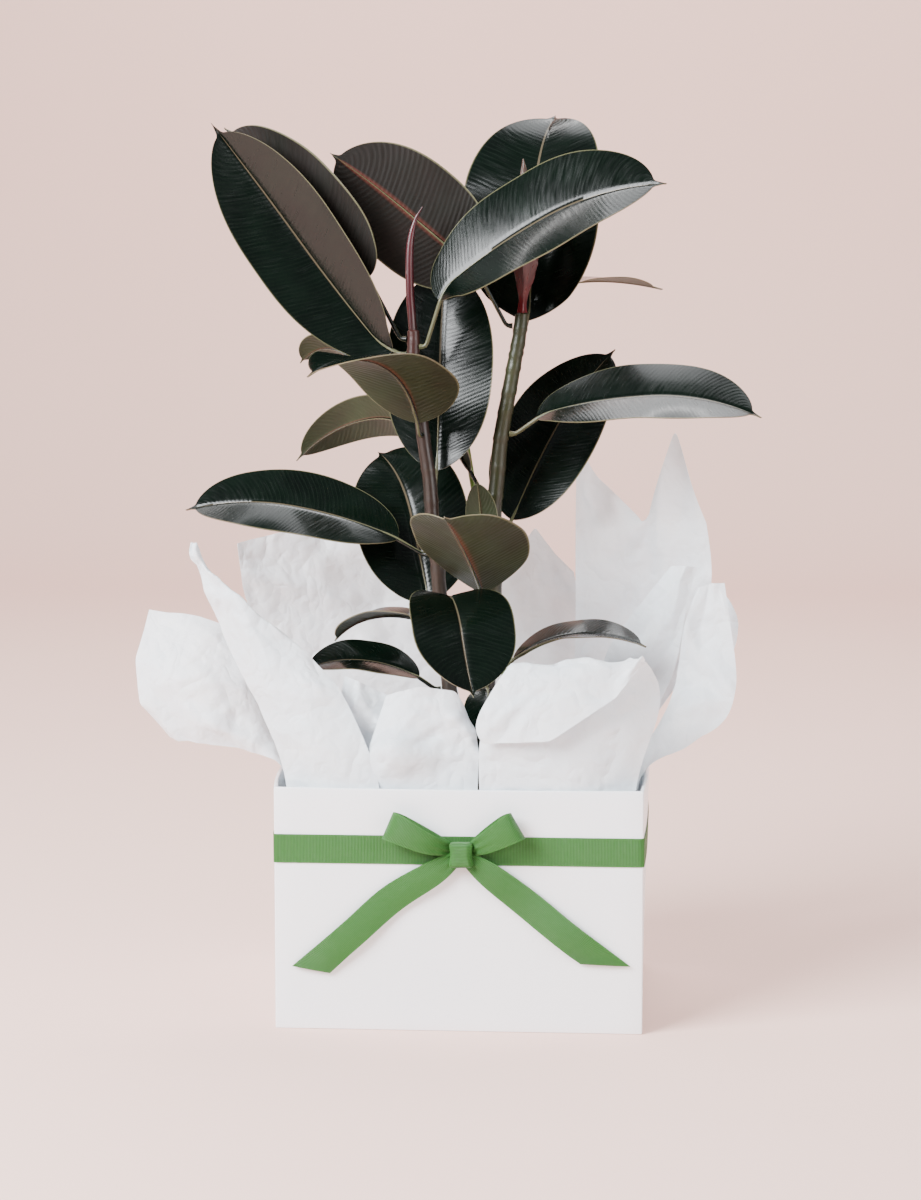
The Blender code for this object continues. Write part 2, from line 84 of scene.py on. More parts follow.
def new_primitive(name, add, **settings):
    """Add a primitive with nothing else selected, name it and apply its place."""
    if bpy.context.object and bpy.context.object.mode != "OBJECT":
        bpy.ops.object.mode_set(mode="OBJECT")
    bpy.ops.object.select_all(action="DESELECT")
    add(**settings)
    piece = bpy.context.object
    piece.name = name
    piece.data.name = name
    bpy.ops.object.transform_apply(location=True, rotation=True, scale=True)
    return piece


def apply_modifiers(piece):
    """Apply every modifier of a piece, in order."""
    select_only(piece)
    for modifier in list(piece.modifiers):
        bpy.ops.object.modifier_apply(modifier=modifier.name)


def add_wall(piece, thickness, offset):
    """Give a sheet its thickness with Solidify: offset -1 grows it inwards, 1 outwards, 0 both ways."""
    wall = piece.modifiers.new("wall", "SOLIDIFY")
    wall.thickness = thickness
    wall.offset = offset
    return wall


def get_points(mesh):
    """The mesh's vertices as an array of x, y, z."""
    points = np.empty(len(mesh.vertices) * 3)
    mesh.vertices.foreach_get("co", points)
    return points.reshape(-1, 3)


def set_points(mesh, points):
    """Move the mesh's vertices to an array of x, y, z."""
    mesh.vertices.foreach_set("co", np.asarray(points, dtype=float).ravel())
    mesh.update()


def corner_vertices(mesh):
    """The vertex that each face corner sits on."""
    corners = np.empty(len(mesh.loops), dtype=np.int32)
    mesh.loops.foreach_get("vertex_index", corners)
    return corners


def write_map(mesh, name, u, v):
    """Store u and v, one pair for each vertex, as the mesh's UV map."""
    layer = mesh.uv_layers.get(name) or mesh.uv_layers.new(name=name)
    corners = corner_vertices(mesh)
    layer.data.foreach_set("uv", np.column_stack([u[corners], v[corners]]).ravel())


def add_piece(piece, materials, slot, *nodes, angle=40):
    """Smooth a finished piece, dress it, and put it in its nodes' place on the object's body."""
    select_only(piece)
    bpy.ops.object.shade_smooth_by_angle(angle=radians(angle))
    if materials:
        piece.data.materials.clear()
        for material in materials:
            piece.data.materials.append(material)
    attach(piece, "root")
    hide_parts(*nodes)
    triangles = sum(len(face.vertices) - 2 for face in piece.data.polygons)
    print(f"{piece.name}: {triangles} triangles, stands for {', '.join(nodes)}")


# %% [markdown]
# ## A small kit for materials
# Every finish is a Principled shader fed by procedural nodes. The helper class keeps the wiring
# short: it adds a node, joins its inputs and hands back its output. Values that are the same all
# over a surface go straight on the shader's own sockets.


# %% Helper for building materials
class Finish:
    """A material with a Principled shader and short calls for wiring nodes into it."""

    def __init__(self, name, **constants):
        self.material = bpy.data.materials.new(name)
        self.material.use_nodes = True
        self.tree = self.material.node_tree
        self.shader = self.tree.nodes["Principled BSDF"]
        for socket, value in constants.items():
            self.shader.inputs[socket.replace("_", " ")].default_value = value

    def node(self, kind, inputs=None, **settings):
        made = self.tree.nodes.new(kind)
        for key, value in settings.items():
            setattr(made, key, value)
        for key, value in (inputs or {}).items():
            self.join(value, made.inputs[key])
        return made

    def join(self, value, socket):
        if isinstance(value, bpy.types.NodeSocket):
            self.tree.links.new(value, socket)
        else:
            socket.default_value = value

    def place(self):
        return self.node("ShaderNodeTexCoord").outputs["Object"]

    def map(self, name):
        parts = self.node("ShaderNodeSeparateXYZ", {0: self.node("ShaderNodeUVMap", uv_map=name).outputs[0]})
        return parts.outputs[0], parts.outputs[1]

    def stretch(self, vector, scale):
        return self.node("ShaderNodeMapping", {"Vector": vector, "Scale": scale}).outputs[0]

    def noise(self, vector, scale, detail=3.0, roughness=0.5, distortion=0.0):
        return self.node("ShaderNodeTexNoise", {"Vector": vector, "Scale": scale, "Detail": detail,
                                                "Roughness": roughness, "Distortion": distortion}).outputs[0]

    def math(self, operation, first, second=0.0):
        return self.node("ShaderNodeMath", {0: first, 1: second}, operation=operation).outputs[0]

    def fit(self, value, low, high, to_low=0.0, to_high=1.0):
        return self.node("ShaderNodeMapRange", {"Value": value, "From Min": low, "From Max": high,
                                                "To Min": to_low, "To Max": to_high}).outputs[0]

    def ramp(self, value, stops):
        made = self.node("ShaderNodeValToRGB", {0: value})
        band = made.color_ramp
        while len(band.elements) < len(stops):
            band.elements.new(1.0)
        for element, (position, colour) in zip(band.elements, stops):
            element.position = position
            element.color = (*colour, 1.0)
        return made.outputs[0]

    def mix(self, share, first, second):
        made = self.node("ShaderNodeMix", data_type="RGBA")
        self.join(share, made.inputs[0])
        self.join((*first, 1.0) if isinstance(first, tuple) else first, made.inputs[6])
        self.join((*second, 1.0) if isinstance(second, tuple) else second, made.inputs[7])
        return made.outputs[2]

    def bump(self, height, strength, distance, normal=None):
        made = self.node("ShaderNodeBump", {"Height": height, "Strength": strength, "Distance": distance})
        if normal is not None:
            self.join(normal, made.inputs["Normal"])
        return made.outputs[0]

    def set(self, **sockets):
        for socket, value in sockets.items():
            self.join(value, self.shader.inputs[socket.replace("_", " ")])
        return self.material


# %% [markdown]
# ## Gift box
# The box is folded from white card with a smooth gloss coating. Its walls are doubled over at the
# rim, which makes the rim thick and softly rounded, and the side walls bow out a little. It could
# be five plates, but one cube with its lid taken off keeps the corners joined, and its walls can
# then be bowed together.

# %% Box sizes and the bow of its walls
BOX_WIDTH, BOX_DEPTH, BOX_HEIGHT, BOX_WALL = 0.280, 0.230, 0.187, 0.003
BULGE_LEFT, BULGE_RIGHT, RIM_SAG = 0.008, 0.004, 0.0008
CARD_CUTS, FOLD_RADIUS = 17, 0.0011


def wall_bow(x, y, z):
    """How far a side wall bows out at a point: most at the middle of its rim."""
    across = np.clip(1 - (2 * y / BOX_DEPTH) ** 2, 0, 1)
    high = np.clip(z / BOX_HEIGHT, 0, 1.2) ** 1.5
    bow = np.where(x < 0, BULGE_LEFT, BULGE_RIGHT) * np.sign(x)
    return bow * across * high * np.clip(np.abs(x) / (BOX_WIDTH / 2), 0, 1)


# %% Fold the box
gift_card = new_primitive("gift_card", bpy.ops.mesh.primitive_cube_add, size=1.0,
                          location=(0, 0, BOX_HEIGHT / 2), scale=(BOX_WIDTH, BOX_DEPTH, BOX_HEIGHT))
bpy.ops.object.mode_set(mode="EDIT")
bpy.ops.mesh.select_all(action="SELECT")
bpy.ops.mesh.subdivide(number_cuts=CARD_CUTS)
bpy.ops.mesh.select_all(action="DESELECT")
bpy.ops.object.mode_set(mode="OBJECT")
for face in gift_card.data.polygons:
    face.select = face.normal.z > 0.9
bpy.ops.object.mode_set(mode="EDIT")
bpy.ops.mesh.select_mode(type="FACE")
bpy.ops.mesh.delete(type="FACE")
bpy.ops.object.mode_set(mode="OBJECT")
points = get_points(gift_card.data)
points[:, 0] += wall_bow(*points.T)
at_rim = points[:, 2] > BOX_HEIGHT - 0.0001
points[:, 2] -= RIM_SAG * np.clip(1 - (2 * points[:, 0] / BOX_WIDTH) ** 2, 0, 1) * at_rim
set_points(gift_card.data, points)

# %% Give the card its thickness and soft folds
add_wall(gift_card, BOX_WALL, -1.0).use_even_offset = True
soft = gift_card.modifiers.new("soft_folds", "BEVEL")
soft.width = FOLD_RADIUS
soft.segments = 3
soft.limit_method = "ANGLE"
soft.angle_limit = radians(40)
apply_modifiers(gift_card)
print("box rim at", round(max(get_points(gift_card.data)[:, 2]), 4), "m")

# %% [markdown]
# The coating is white with a cold cast, and gloss enough to mirror its surroundings softly. Very
# faint waves in the card break the reflections, and the fibres of the board show as a fine grain.

# %% Gloss coated card
card = Finish("coated_card", Coat_Weight=0.35, Coat_Roughness=0.12, IOR=1.5)
spot = card.place()
board_waves = card.noise(spot, 9.0, 2.0)
board_grain = card.noise(spot, 900.0, 2.0)
card_tint = card.mix(card.fit(board_waves, 0.35, 0.7), (0.88, 0.91, 0.95), (0.91, 0.935, 0.96))
card_waves = card.bump(board_waves, 0.25, 0.004)
coated_card = card.set(Base_Color=card_tint, Roughness=card.fit(board_grain, 0.3, 0.7, 0.26, 0.36),
                       Normal=card.bump(board_grain, 0.08, 0.0002, card_waves))
add_piece(gift_card, [coated_card], "white_card", "gift_box")

# %% [markdown]
# ## Nursery pot and soil
# Hidden in the tissue is a black moulded nursery pot with a turned-over rim. It is drawn up from a
# circle, ring by ring, as a potter would throw it. The soil is a dark crumbly mound, and
# its lumps have to be real shape, because it is seen from close above at a flat angle.

# %% Draw up the pot
POT_FOOT, POT_TOP, POT_BASE_Z, POT_RIM_Z = 0.062, 0.084, 0.0034, 0.1494


def draw_up(name, rings, sides):
    """Grow a round form ring by ring from rings of x, y, z, radius, closed at both ends."""
    x, y, z, radius = rings[0]
    piece = new_primitive(name, bpy.ops.mesh.primitive_circle_add, vertices=sides, radius=radius,
                          fill_type="NGON", location=(x, y, z))
    bpy.ops.object.mode_set(mode="EDIT")
    bpy.ops.mesh.select_mode(type="FACE")
    bpy.ops.mesh.select_all(action="SELECT")
    for low, high in zip(rings, rings[1:]):
        step = tuple(b - a for a, b in zip(low[:3], high[:3]))
        bpy.ops.mesh.extrude_region_move(TRANSFORM_OT_translate={"value": step})
        grow = high[3] / low[3]
        bpy.ops.transform.resize(value=(grow, grow, grow), center_override=tuple(high[:3]))
    bpy.ops.mesh.select_all(action="SELECT")
    bpy.ops.mesh.normals_make_consistent(inside=False)
    bpy.ops.object.mode_set(mode="OBJECT")
    return piece


pot_rings = [(POT_BASE_Z, 0.060), (POT_BASE_Z + 0.002, POT_FOOT), (0.040, 0.0675), (0.090, 0.0750),
             (0.1350, 0.0817), (0.1354, 0.0863), (0.1366, 0.0870), (0.1480, 0.0870),
             (POT_RIM_Z, 0.0862), (POT_RIM_Z, 0.0838), (0.1480, 0.0824), (0.130, 0.0796),
             (0.090, 0.0735), (0.0060, 0.0602)]
nursery_shell = draw_up("nursery_shell", [(0, 0, z, r) for z, r in pot_rings], 96)

# %% Moulded pot plastic
moulded = Finish("moulded_pot", IOR=1.49)
pot_grain = moulded.noise(moulded.place(), 700.0, 3.0)
pot_scuffs = moulded.noise(moulded.stretch(moulded.place(), (1.0, 1.0, 0.2)), 60.0, 4.0)
pot_colour = moulded.mix(moulded.fit(pot_scuffs, 0.45, 0.75), (0.018, 0.018, 0.019), (0.045, 0.043, 0.04))
moulded_pot = moulded.set(Base_Color=pot_colour, Roughness=moulded.fit(pot_scuffs, 0.3, 0.7, 0.42, 0.6),
                          Normal=moulded.bump(pot_grain, 0.2, 0.0002))
add_piece(nursery_shell, [moulded_pot], "pot_plastic", "nursery_pot")

# %% Heap the soil
soil_rings = [(0.0075, 0.0585), (0.060, 0.0675), (0.128, 0.0785), (0.1345, 0.0788)]
soil_rings += [(0.1345 + 0.0088 * (1 - (r / 0.078) ** 2) ** 0.7, r) for r in np.linspace(0.0765, 0.0015, 46)]
soil_bed = draw_up("soil_bed", [(0, 0, z, r) for z, r in soil_rings], 128)
for size, depth in ((0.016, 0.0030), (0.006, 0.0022), (0.0022, 0.0012)):
    crumbs = bpy.data.textures.new("crumbs", "CLOUDS")
    crumbs.noise_scale = size
    crumbs.noise_depth = 1
    lumps = soil_bed.modifiers.new("lumps", "DISPLACE")
    lumps.texture = crumbs
    lumps.texture_coords = "LOCAL"
    lumps.direction = "Z"
    lumps.strength = depth
    lumps.mid_level = 0.7
apply_modifiers(soil_bed)

# %% Dark peat
peat = Finish("dark_peat", Specular_IOR_Level=0.25, Roughness=0.95)
lump = peat.noise(peat.place(), 120.0, 5.0, 0.65)
fleck = peat.noise(peat.place(), 650.0, 2.0)
peat_colour = peat.ramp(lump, [(0.3, (0.008, 0.005, 0.003)), (0.55, (0.026, 0.015, 0.009)),
                               (0.72, (0.055, 0.034, 0.02))])
peat_flecked = peat.mix(peat.fit(fleck, 0.66, 0.72), peat_colour, (0.16, 0.12, 0.08))
dark_peat = peat.set(Base_Color=peat_flecked, Normal=peat.bump(fleck, 0.8, 0.0012))
add_piece(soil_bed, [dark_peat], "soil", "potting_soil", angle=80)

# %% [markdown]
# ## Stems
# A rubber plant's stem is smooth and round, and each fallen or living leaf leaves a raised ring at
# its joint. The older stem has turned brown all the way up, and the younger one is still olive green
# above. The stems are drawn up like the pot, with a swelling at each joint.

# %% Stem lines, in millimetres: x, y, z, radius
STEMS = {
    "left": [(-8, -20, 90, 6.4), (-9, -20, 180, 6.2), (-13, -20, 241, 6.0), (-19, -20, 310, 5.8),
             (-26, -20, 379, 5.6), (-33, -20, 445, 5.4), (-40, -20, 490, 5.2), (-42, -20, 530, 4.6)],
    "right": [(8, 15, 90, 7.0), (10, 15, 180, 6.8), (15, 15, 262, 6.5), (20, 15, 327, 6.4),
              (20, 15, 396, 6.2), (27, 15, 459, 6.0), (35, 15, 500, 5.8), (41, 15, 543, 5.4)],
}


def smooth_path(points, step):
    """Points every step or so along a Catmull-Rom curve through the given ones."""
    path = np.array(points, dtype=float)
    padded = np.vstack([2 * path[0] - path[1], path, 2 * path[-1] - path[-2]])
    out = []
    for i in range(len(path) - 1):
        p0, p1, p2, p3 = padded[i:i + 4]
        count = max(1, round(np.linalg.norm(p2[:3] - p1[:3]) / step))
        for t in np.arange(count) / count:
            out.append(0.5 * (2 * p1 + (p2 - p0) * t + (2 * p0 - 5 * p1 + 4 * p2 - p3) * t ** 2
                              + (3 * p1 - p0 - 3 * p2 + p3) * t ** 3))
    out.append(path[-1])
    return np.array(out)


def stem_at(stem, height):
    """Centre and radius of a stem at a height, in millimetres."""
    fine = smooth_path(STEMS[stem], 20.0)
    x, y, radius = (np.interp(height, fine[:, 2], fine[:, k]) for k in (0, 1, 3))
    return np.array([x, y, height]), radius


# %% Leaf table
# Where each leaf leaves its stem and how its midrib runs. Azimuth is 0 towards the front, 90 to the
# right. Rise is the slope of the midrib, and roll turns the upper face to the leaf's own left.
Leaf = namedtuple("Leaf", "stem height azimuth turn petiole petiole_rise length rise_base rise_middle "
                          "rise_tip roll width fold")
LEAVES = [
    Leaf("left", 512, -100, 20, 12, 25, 230, 50, 54, 52, 100, 88, 28),
    Leaf("left", 524, -95, -15, 58, 62, 170, 48, 44, 38, -60, 74, 18),
    Leaf("right", 534, -84, 0, 44, 62, 158, 40, 40, 34, -80, 90, 8),
    Leaf("left", 518, 80, -5, 42, 72, 208, 38, 28, 0, -50, 96, 15),
    Leaf("right", 522, 165, 0, 25, 50, 195, 85, 80, 20, 0, 116, 12),
    Leaf("right", 503, 178, -74, 60, 45, 204, 14, 8, -14, 0, 60, 10),
    Leaf("left", 450, -10, -50, 16, 55, 150, 50, 20, -35, 0, 100, 8),
    Leaf("left", 477, -118, 0, 34, 38, 88, 28, 20, -52, -30, 40, 12),
    Leaf("left", 400, 170, 8, 26, 72, 172, 83, 80, 60, 0, 86, 6),
    Leaf("left", 384, -160, 75, 60, 66, 160, 30, -8, -50, -55, 42, 12),
    Leaf("left", 356, -95, 0, 28, 30, 178, 20, 9, -16, 42, 68, 12),
    Leaf("left", 298, -145, 0, 25, 60, 150, 68, 66, 15, 30, 92, 8),
    Leaf("right", 301, -6, -8, 50, 35, 140, 30, 30, 28, 0, 98, 25),
    Leaf("left", 311, 14, 12, 28, 35, 110, -8, -62, -55, 0, 84, 15),
    Leaf("left", 250, -85, 0, 20, 35, 95, 24, 5, -25, 25, 46, 15),
    Leaf("left", 296, -110, 0, 20, 30, 80, 5, -15, -50, 0, 36, 20),
    Leaf("right", 262, 85, 0, 16, 40, 114, 32, 5, -25, -10, 50, 15),
    Leaf("right", 248, 5, 0, 15, 0, 75, -25, -60, -70, 0, 40, 5),
    Leaf("right", 449, 80, 0, 26, 35, 185, 14, 3, -25, -33, 76, 11),
    Leaf("right", 366, 146, -25, 22, 50, 178, 55, 53, 40, -25, 84, 10),
    Leaf("right", 402, -110, -20, 24, 58, 90, 60, 60, 40, -40, 46, 8),
    Leaf("right", 335, -20, 0, 18, 65, 70, 75, 80, 70, 0, 28, 8),
]
print(len(LEAVES), "leaves")

# %% Draw up the two stems
RING_STEP, STEM_SIDES = 3.0, 28


def leaf_joints(stem):
    """Heights of the joints on a stem, where a leaf or its scar sits."""
    bare = {"left": (345, 425, 500), "right": (350, 380, 425, 470, 485, 515)}[stem]
    return sorted([leaf.height for leaf in LEAVES if leaf.stem == stem] + list(bare))


def joint_swelling(height, joints):
    """Extra share of radius near a joint: a raised ring just under each leaf."""
    gaps = np.array([height - joint + 3.0 for joint in joints])
    return 0.08 * np.exp(-(gaps / 2.0) ** 2).max() - 0.04 * np.exp(-((gaps + 3.5) / 1.6) ** 2).max()


def make_stem(side):
    """A stem drawn up along its line, swollen at each joint, with a soft closed tip."""
    rings = []
    joints = leaf_joints(side)
    for x, y, z, radius in smooth_path(STEMS[side], RING_STEP):
        lean = 0.35 * sin(z * 0.11) + 0.25 * sin(z * 0.047 + 1.0)
        swollen = radius * (1 + joint_swelling(z, joints))
        rings.append(((x + lean) * MM, y * MM, z * MM, swollen * MM))
    tip = rings[-1]
    rings.append((tip[0], tip[1], tip[2] + 0.0012, tip[3] * 0.7))
    return draw_up(f"stem_bark_{side}", rings, STEM_SIDES)


stem_pieces = {side: make_stem(side) for side in STEMS}


# %% Stem bark, from old wood at the foot to young green or red at the top
STAIN_FROM, STAIN_TO = 0.14, 0.54


def stem_finish(name, stops):
    """Bark whose colour runs up the stem through the stops, streaked and flecked with cork."""
    bark = Finish(name, IOR=1.45)
    spot = bark.place()
    height = bark.node("ShaderNodeSeparateXYZ", {0: spot}).outputs[2]
    streaks = bark.noise(bark.stretch(spot, (1.0, 1.0, 0.12)), 260.0, 4.0, 0.6)
    blotches = bark.noise(spot, 55.0, 3.0)
    corky = bark.noise(bark.stretch(spot, (0.5, 0.5, 3.0)), 140.0, 2.0)
    wander = bark.math("ADD", bark.fit(height, STAIN_FROM, STAIN_TO),
                       bark.fit(blotches, 0.3, 0.7, -0.07, 0.07))
    colour = bark.mix(bark.fit(streaks, 0.35, 0.75, 0.0, 0.55), bark.ramp(wander, stops),
                      (0.012, 0.008, 0.005))
    flecked = bark.mix(bark.fit(corky, 0.70, 0.76, 0.0, 0.5), colour, (0.040, 0.032, 0.020))
    relief = bark.bump(streaks, 0.35, 0.0005)
    return bark.set(Base_Color=flecked, Roughness=bark.fit(streaks, 0.3, 0.7, 0.30, 0.48),
                    Normal=bark.bump(corky, 0.2, 0.0006, relief))


brown_stem = stem_finish("brown_stem", [(0.0, (0.008, 0.005, 0.0035)), (0.45, (0.018, 0.011, 0.0065)),
                                        (0.80, (0.019, 0.009, 0.006)), (1.0, (0.036, 0.008, 0.006))])
green_stem = stem_finish("green_stem", [(0.0, (0.008, 0.005, 0.0035)), (0.28, (0.019, 0.013, 0.007)),
                                        (0.50, (0.020, 0.021, 0.007)), (1.0, (0.022, 0.027, 0.008))])
add_piece(stem_pieces["left"], [brown_stem], "stem_bark", "stem_left")
add_piece(stem_pieces["right"], [green_stem], "stem_bark", "stem_right")

# %% [markdown]
# ## Growing points
# At the top of each stem a new leaf waits in a pointed crimson sheath. On the left the sheath is
# still closed and bends over like a horn. On the right the leaf has pushed out and is rolled up,
# maroon. Both are round forms that taper, with long ridges pressed into them and paler stripes
# painted round them as a painted highlight on the ridges.

# %% Draw up the sheath and the rolled leaf
BUD = [(-42, -20, 531, 3.4), (-44, -20, 560, 3.6), (-44, -20, 595, 3.2), (-40, -20, 615, 1.8),
       (-34, -20, 626, 0.5)]
ROLLED = [(41, 15, 544, 4.6), (42, 15, 556, 4.0), (44, 15, 575, 9.5), (45, 15, 592, 12.0),
          (45, 15, 625, 9.5), (43, 15, 650, 4.0), (42, 15, 664, 0.6)]


def ridged(name, line, sides, ridges, depth, twist):
    """A tapering round form with ridges that turn slowly round it."""
    rings = smooth_path(line, 2.5)
    rings[:, 3] = np.maximum(rings[:, 3], 0.45)
    piece = draw_up(name, [tuple(ring * MM) for ring in rings], sides)
    points = get_points(piece.data)
    centres = np.column_stack([np.interp(points[:, 2], rings[:, 2] * MM, rings[:, k] * MM) for k in (0, 1)])
    out = points[:, :2] - centres
    angle = np.arctan2(out[:, 1], out[:, 0]) + twist * (points[:, 2] - points[0, 2])
    swell = 1 - depth * np.abs(np.sin(angle * ridges / 2)) ** 0.5
    points[:, :2] = centres + out * swell[:, None]
    set_points(piece.data, points)
    write_map(piece.data, "growth", (points[:, 2] - points[:, 2].min()) * 10, angle)
    return piece


bud_horn = ridged("bud_horn", BUD, 24, 3, 0.12, 6.0)
rolled_leaf = ridged("rolled_leaf", ROLLED, 36, 5, 0.22, 14.0)


# %% Crimson sheath and maroon rolled leaf
def sheath_finish(name, stops):
    """Fibrous skin whose colour runs from base to point through the stops, with a painted highlight along its
    ridges.
    """
    skin = Finish(name, Subsurface_Weight=0.08, Subsurface_Scale=0.002, IOR=1.47)
    along, around = skin.map("growth")
    fibres = skin.noise(skin.stretch(skin.place(), (1.0, 1.0, 0.06)), 520.0, 3.0)
    base = skin.ramp(along, stops)
    # Paler stripes painted round the form stand for light on the ridges: a painted highlight.
    ridge_highlight_share = skin.fit(skin.math("SINE", skin.math("MULTIPLY", around, 5.0)), 0.5, 1.0, 0.0, 0.5)
    ridge_highlit = skin.mix(ridge_highlight_share, base, (0.085, 0.018, 0.018))
    colour = skin.mix(skin.fit(fibres, 0.4, 0.7, 0.0, 0.6), ridge_highlit, (0.022, 0.002, 0.004))
    return skin.set(Base_Color=colour, Roughness=skin.fit(fibres, 0.3, 0.7, 0.26, 0.42),
                    Normal=skin.bump(fibres, 0.3, 0.0005))


crimson_sheath = sheath_finish("crimson_sheath", [(0.0, (0.020, 0.004, 0.003)), (0.2, (0.035, 0.0015, 0.004)),
                                                  (0.75, (0.048, 0.002, 0.006)), (1.0, (0.03, 0.002, 0.004))])
maroon_roll = sheath_finish("maroon_roll", [(0.0, (0.11, 0.004, 0.007)), (0.25, (0.05, 0.003, 0.005)),
                                            (0.6, (0.035, 0.006, 0.007)), (1.0, (0.05, 0.028, 0.016))])
add_piece(bud_horn, [crimson_sheath], "bud_red", "bud_sheath")
add_piece(rolled_leaf, [maroon_roll], "bud_red", "young_leaf")

# %% [markdown]
# ## Support cane
# One thin bright green cane leans behind the stems. It is a split bamboo dyed green: round, with a
# knuckle every hand's width and a slight taper.

# %% Draw up the cane
CANE = [(42, 50, 90, 2.6), (42, 50, 150, 2.6), (-8, 58, 455, 2.4)]
cane_rings = smooth_path(CANE, 3.0)
KNUCKLE_AT, KNUCKLE_GAP, KNUCKLE_REACH, KNUCKLE_SWELL = 261, 92, 2.2, 0.16
half_gap = KNUCKLE_GAP / 2
from_knuckle = (cane_rings[:, 2] - KNUCKLE_AT + half_gap) % KNUCKLE_GAP - half_gap
knuckles = KNUCKLE_SWELL * np.exp(-(from_knuckle / KNUCKLE_REACH) ** 2)
cane_rings[:, 3] *= 1 + knuckles
green_cane = draw_up("green_cane", [tuple(ring * MM) for ring in cane_rings], 20)

cane = Finish("dyed_cane", IOR=1.48)
cane_fibres = cane.noise(cane.stretch(cane.place(), (1.0, 1.0, 0.05)), 600.0, 3.0)
cane_colour = cane.mix(cane.fit(cane_fibres, 0.35, 0.7), (0.060, 0.12, 0.010), (0.13, 0.20, 0.022))
dyed_cane = cane.set(Base_Color=cane_colour, Roughness=cane.fit(cane_fibres, 0.3, 0.7, 0.28, 0.45),
                     Normal=cane.bump(cane_fibres, 0.25, 0.0003))
add_piece(green_cane, [dyed_cane], "cane_green", "support_cane")

# %% [markdown]
# ## Leaves
# Twenty-two leaves look alike, so one blade is modelled flat and each leaf is a copy of it, bent
# along its own midrib. In the flat blade x runs from base to tip and y from edge to edge, both from
# -1 to 1, and z is the thickness. The grid gets its thickness from Solidify, which also gives
# the upper skin, the underside and the cut edge a material slot each. A leaf's stalk and midrib are
# one round rib that tapers to the tip and stands out of the underside.

# %% Model the flat blade and its rib once
BLADE_ALONG, BLADE_ACROSS, FLAT_WALL = 84, 32, 0.02
RIB_SIDES, RIB_CUTS, RIB_SLOT = 16, 100, 3
blade_master = new_primitive("blade_master", bpy.ops.mesh.primitive_grid_add, x_subdivisions=BLADE_ALONG,
                             y_subdivisions=BLADE_ACROSS, size=2.0)
for name in ("upper", "under", "edge", "rib"):
    blade_master.data.materials.append(bpy.data.materials.new(f"master_{name}"))
skin = add_wall(blade_master, FLAT_WALL, 0.0)
skin.material_offset = 1
skin.material_offset_rim = 2
apply_modifiers(blade_master)

rib_master = new_primitive("rib_master", bpy.ops.mesh.primitive_cylinder_add, vertices=RIB_SIDES,
                           radius=1.0, depth=2.0, rotation=(0, pi / 2, 0))
bpy.ops.object.mode_set(mode="EDIT")
bpy.ops.mesh.select_mode(type="EDGE")
bpy.ops.mesh.select_all(action="DESELECT")
bpy.ops.object.mode_set(mode="OBJECT")
for edge in rib_master.data.edges:
    ends = [rib_master.data.vertices[i].co.x for i in edge.vertices]
    edge.select = abs(ends[0] - ends[1]) > 1.0
bpy.ops.object.mode_set(mode="EDIT")
bpy.ops.mesh.subdivide(number_cuts=RIB_CUTS)
bpy.ops.mesh.select_mode(type="VERT")
bpy.ops.object.mode_set(mode="OBJECT")
print("flat blade:", len(blade_master.data.polygons), "faces, rib:", len(rib_master.data.polygons))

# %% The leaf's outline and the line of its midrib
DRIP_TIP, DRIP_HALF, BLADE_CURL, TIP_END = 0.94, 0.11, 0.12, 0.985
STALK_FOOT, STALK_TURNED, CLEARANCE = 1.6, 7.0, 0.4
STALK_RADIUS, BLADE_HALF_THICKNESS = 1.6, 0.42
LINE_STATIONS, EDGE_WAVES, EDGE_WAVE_HEIGHT, GROOVE_DEPTH = 481, 2.3, 0.011, 0.55
UP = np.array([0.0, 0.0, 1.0])


def blade_share(t):
    """Share of the full half width at t along the blade: an oval with a narrow drip tip."""
    oval = np.clip(1 - np.abs(2 * np.minimum(t / DRIP_TIP, 1.0) - 1) ** 2.4, 0, None) ** 0.62
    drip = DRIP_HALF * np.clip((TIP_END - t) / 0.07, 0, 2.0) ** 1.3 * (t > 0.8)
    return np.maximum(oval, drip)


def heading(azimuth):
    """Level unit vector that points along an azimuth."""
    return np.array([sin(radians(azimuth)), -cos(radians(azimuth)), 0.0])


def leaf_line(leaf):
    """Fine stations from stem to tip: distances, places, left directions and face directions."""
    foot, radius = stem_at(leaf.stem, leaf.height)
    total = leaf.petiole + leaf.length
    knots = [0.0, STALK_FOOT, STALK_TURNED, leaf.petiole, leaf.petiole + leaf.length * 0.1,
             leaf.petiole + leaf.length * 0.5, total]
    rises = [0.0, 0.0, leaf.petiole_rise, leaf.petiole_rise, leaf.rise_base, leaf.rise_middle,
             leaf.rise_tip]
    distances = np.linspace(0.0, total, LINE_STATIONS)
    place = foot + heading(leaf.azimuth) * (radius + CLEARANCE)
    places, lefts, faces = [], [], []
    for s in distances:
        ahead = heading(leaf.azimuth + leaf.turn * max(0.0, (s - leaf.petiole) / leaf.length))
        rise = radians(np.interp(s, knots, rises))
        roll = radians(leaf.roll) * min(1.0, s / leaf.petiole)
        tangent = cos(rise) * ahead + sin(rise) * UP
        upward = -sin(rise) * ahead + cos(rise) * UP
        face = cos(roll) * upward + sin(roll) * np.cross(upward, tangent)
        places.append(place)
        lefts.append(np.cross(face, tangent))
        faces.append(face)
        place = place + tangent * distances[1]
    return distances, np.array(places), np.array(lefts), np.array(faces)


# %% Bend a copy of the blade and rib along a leaf's own line
def along_line(line, s, across, high):
    """Points at distance s, across to the left and high above the midrib, in metres."""
    distances, places, lefts, faces = line
    out = np.empty((len(s), 3))
    for k in range(3):
        place = np.interp(s, distances, places[:, k])
        left = np.interp(s, distances, lefts[:, k])
        face = np.interp(s, distances, faces[:, k])
        out[:, k] = (place + left * across + face * high) * MM
    return out


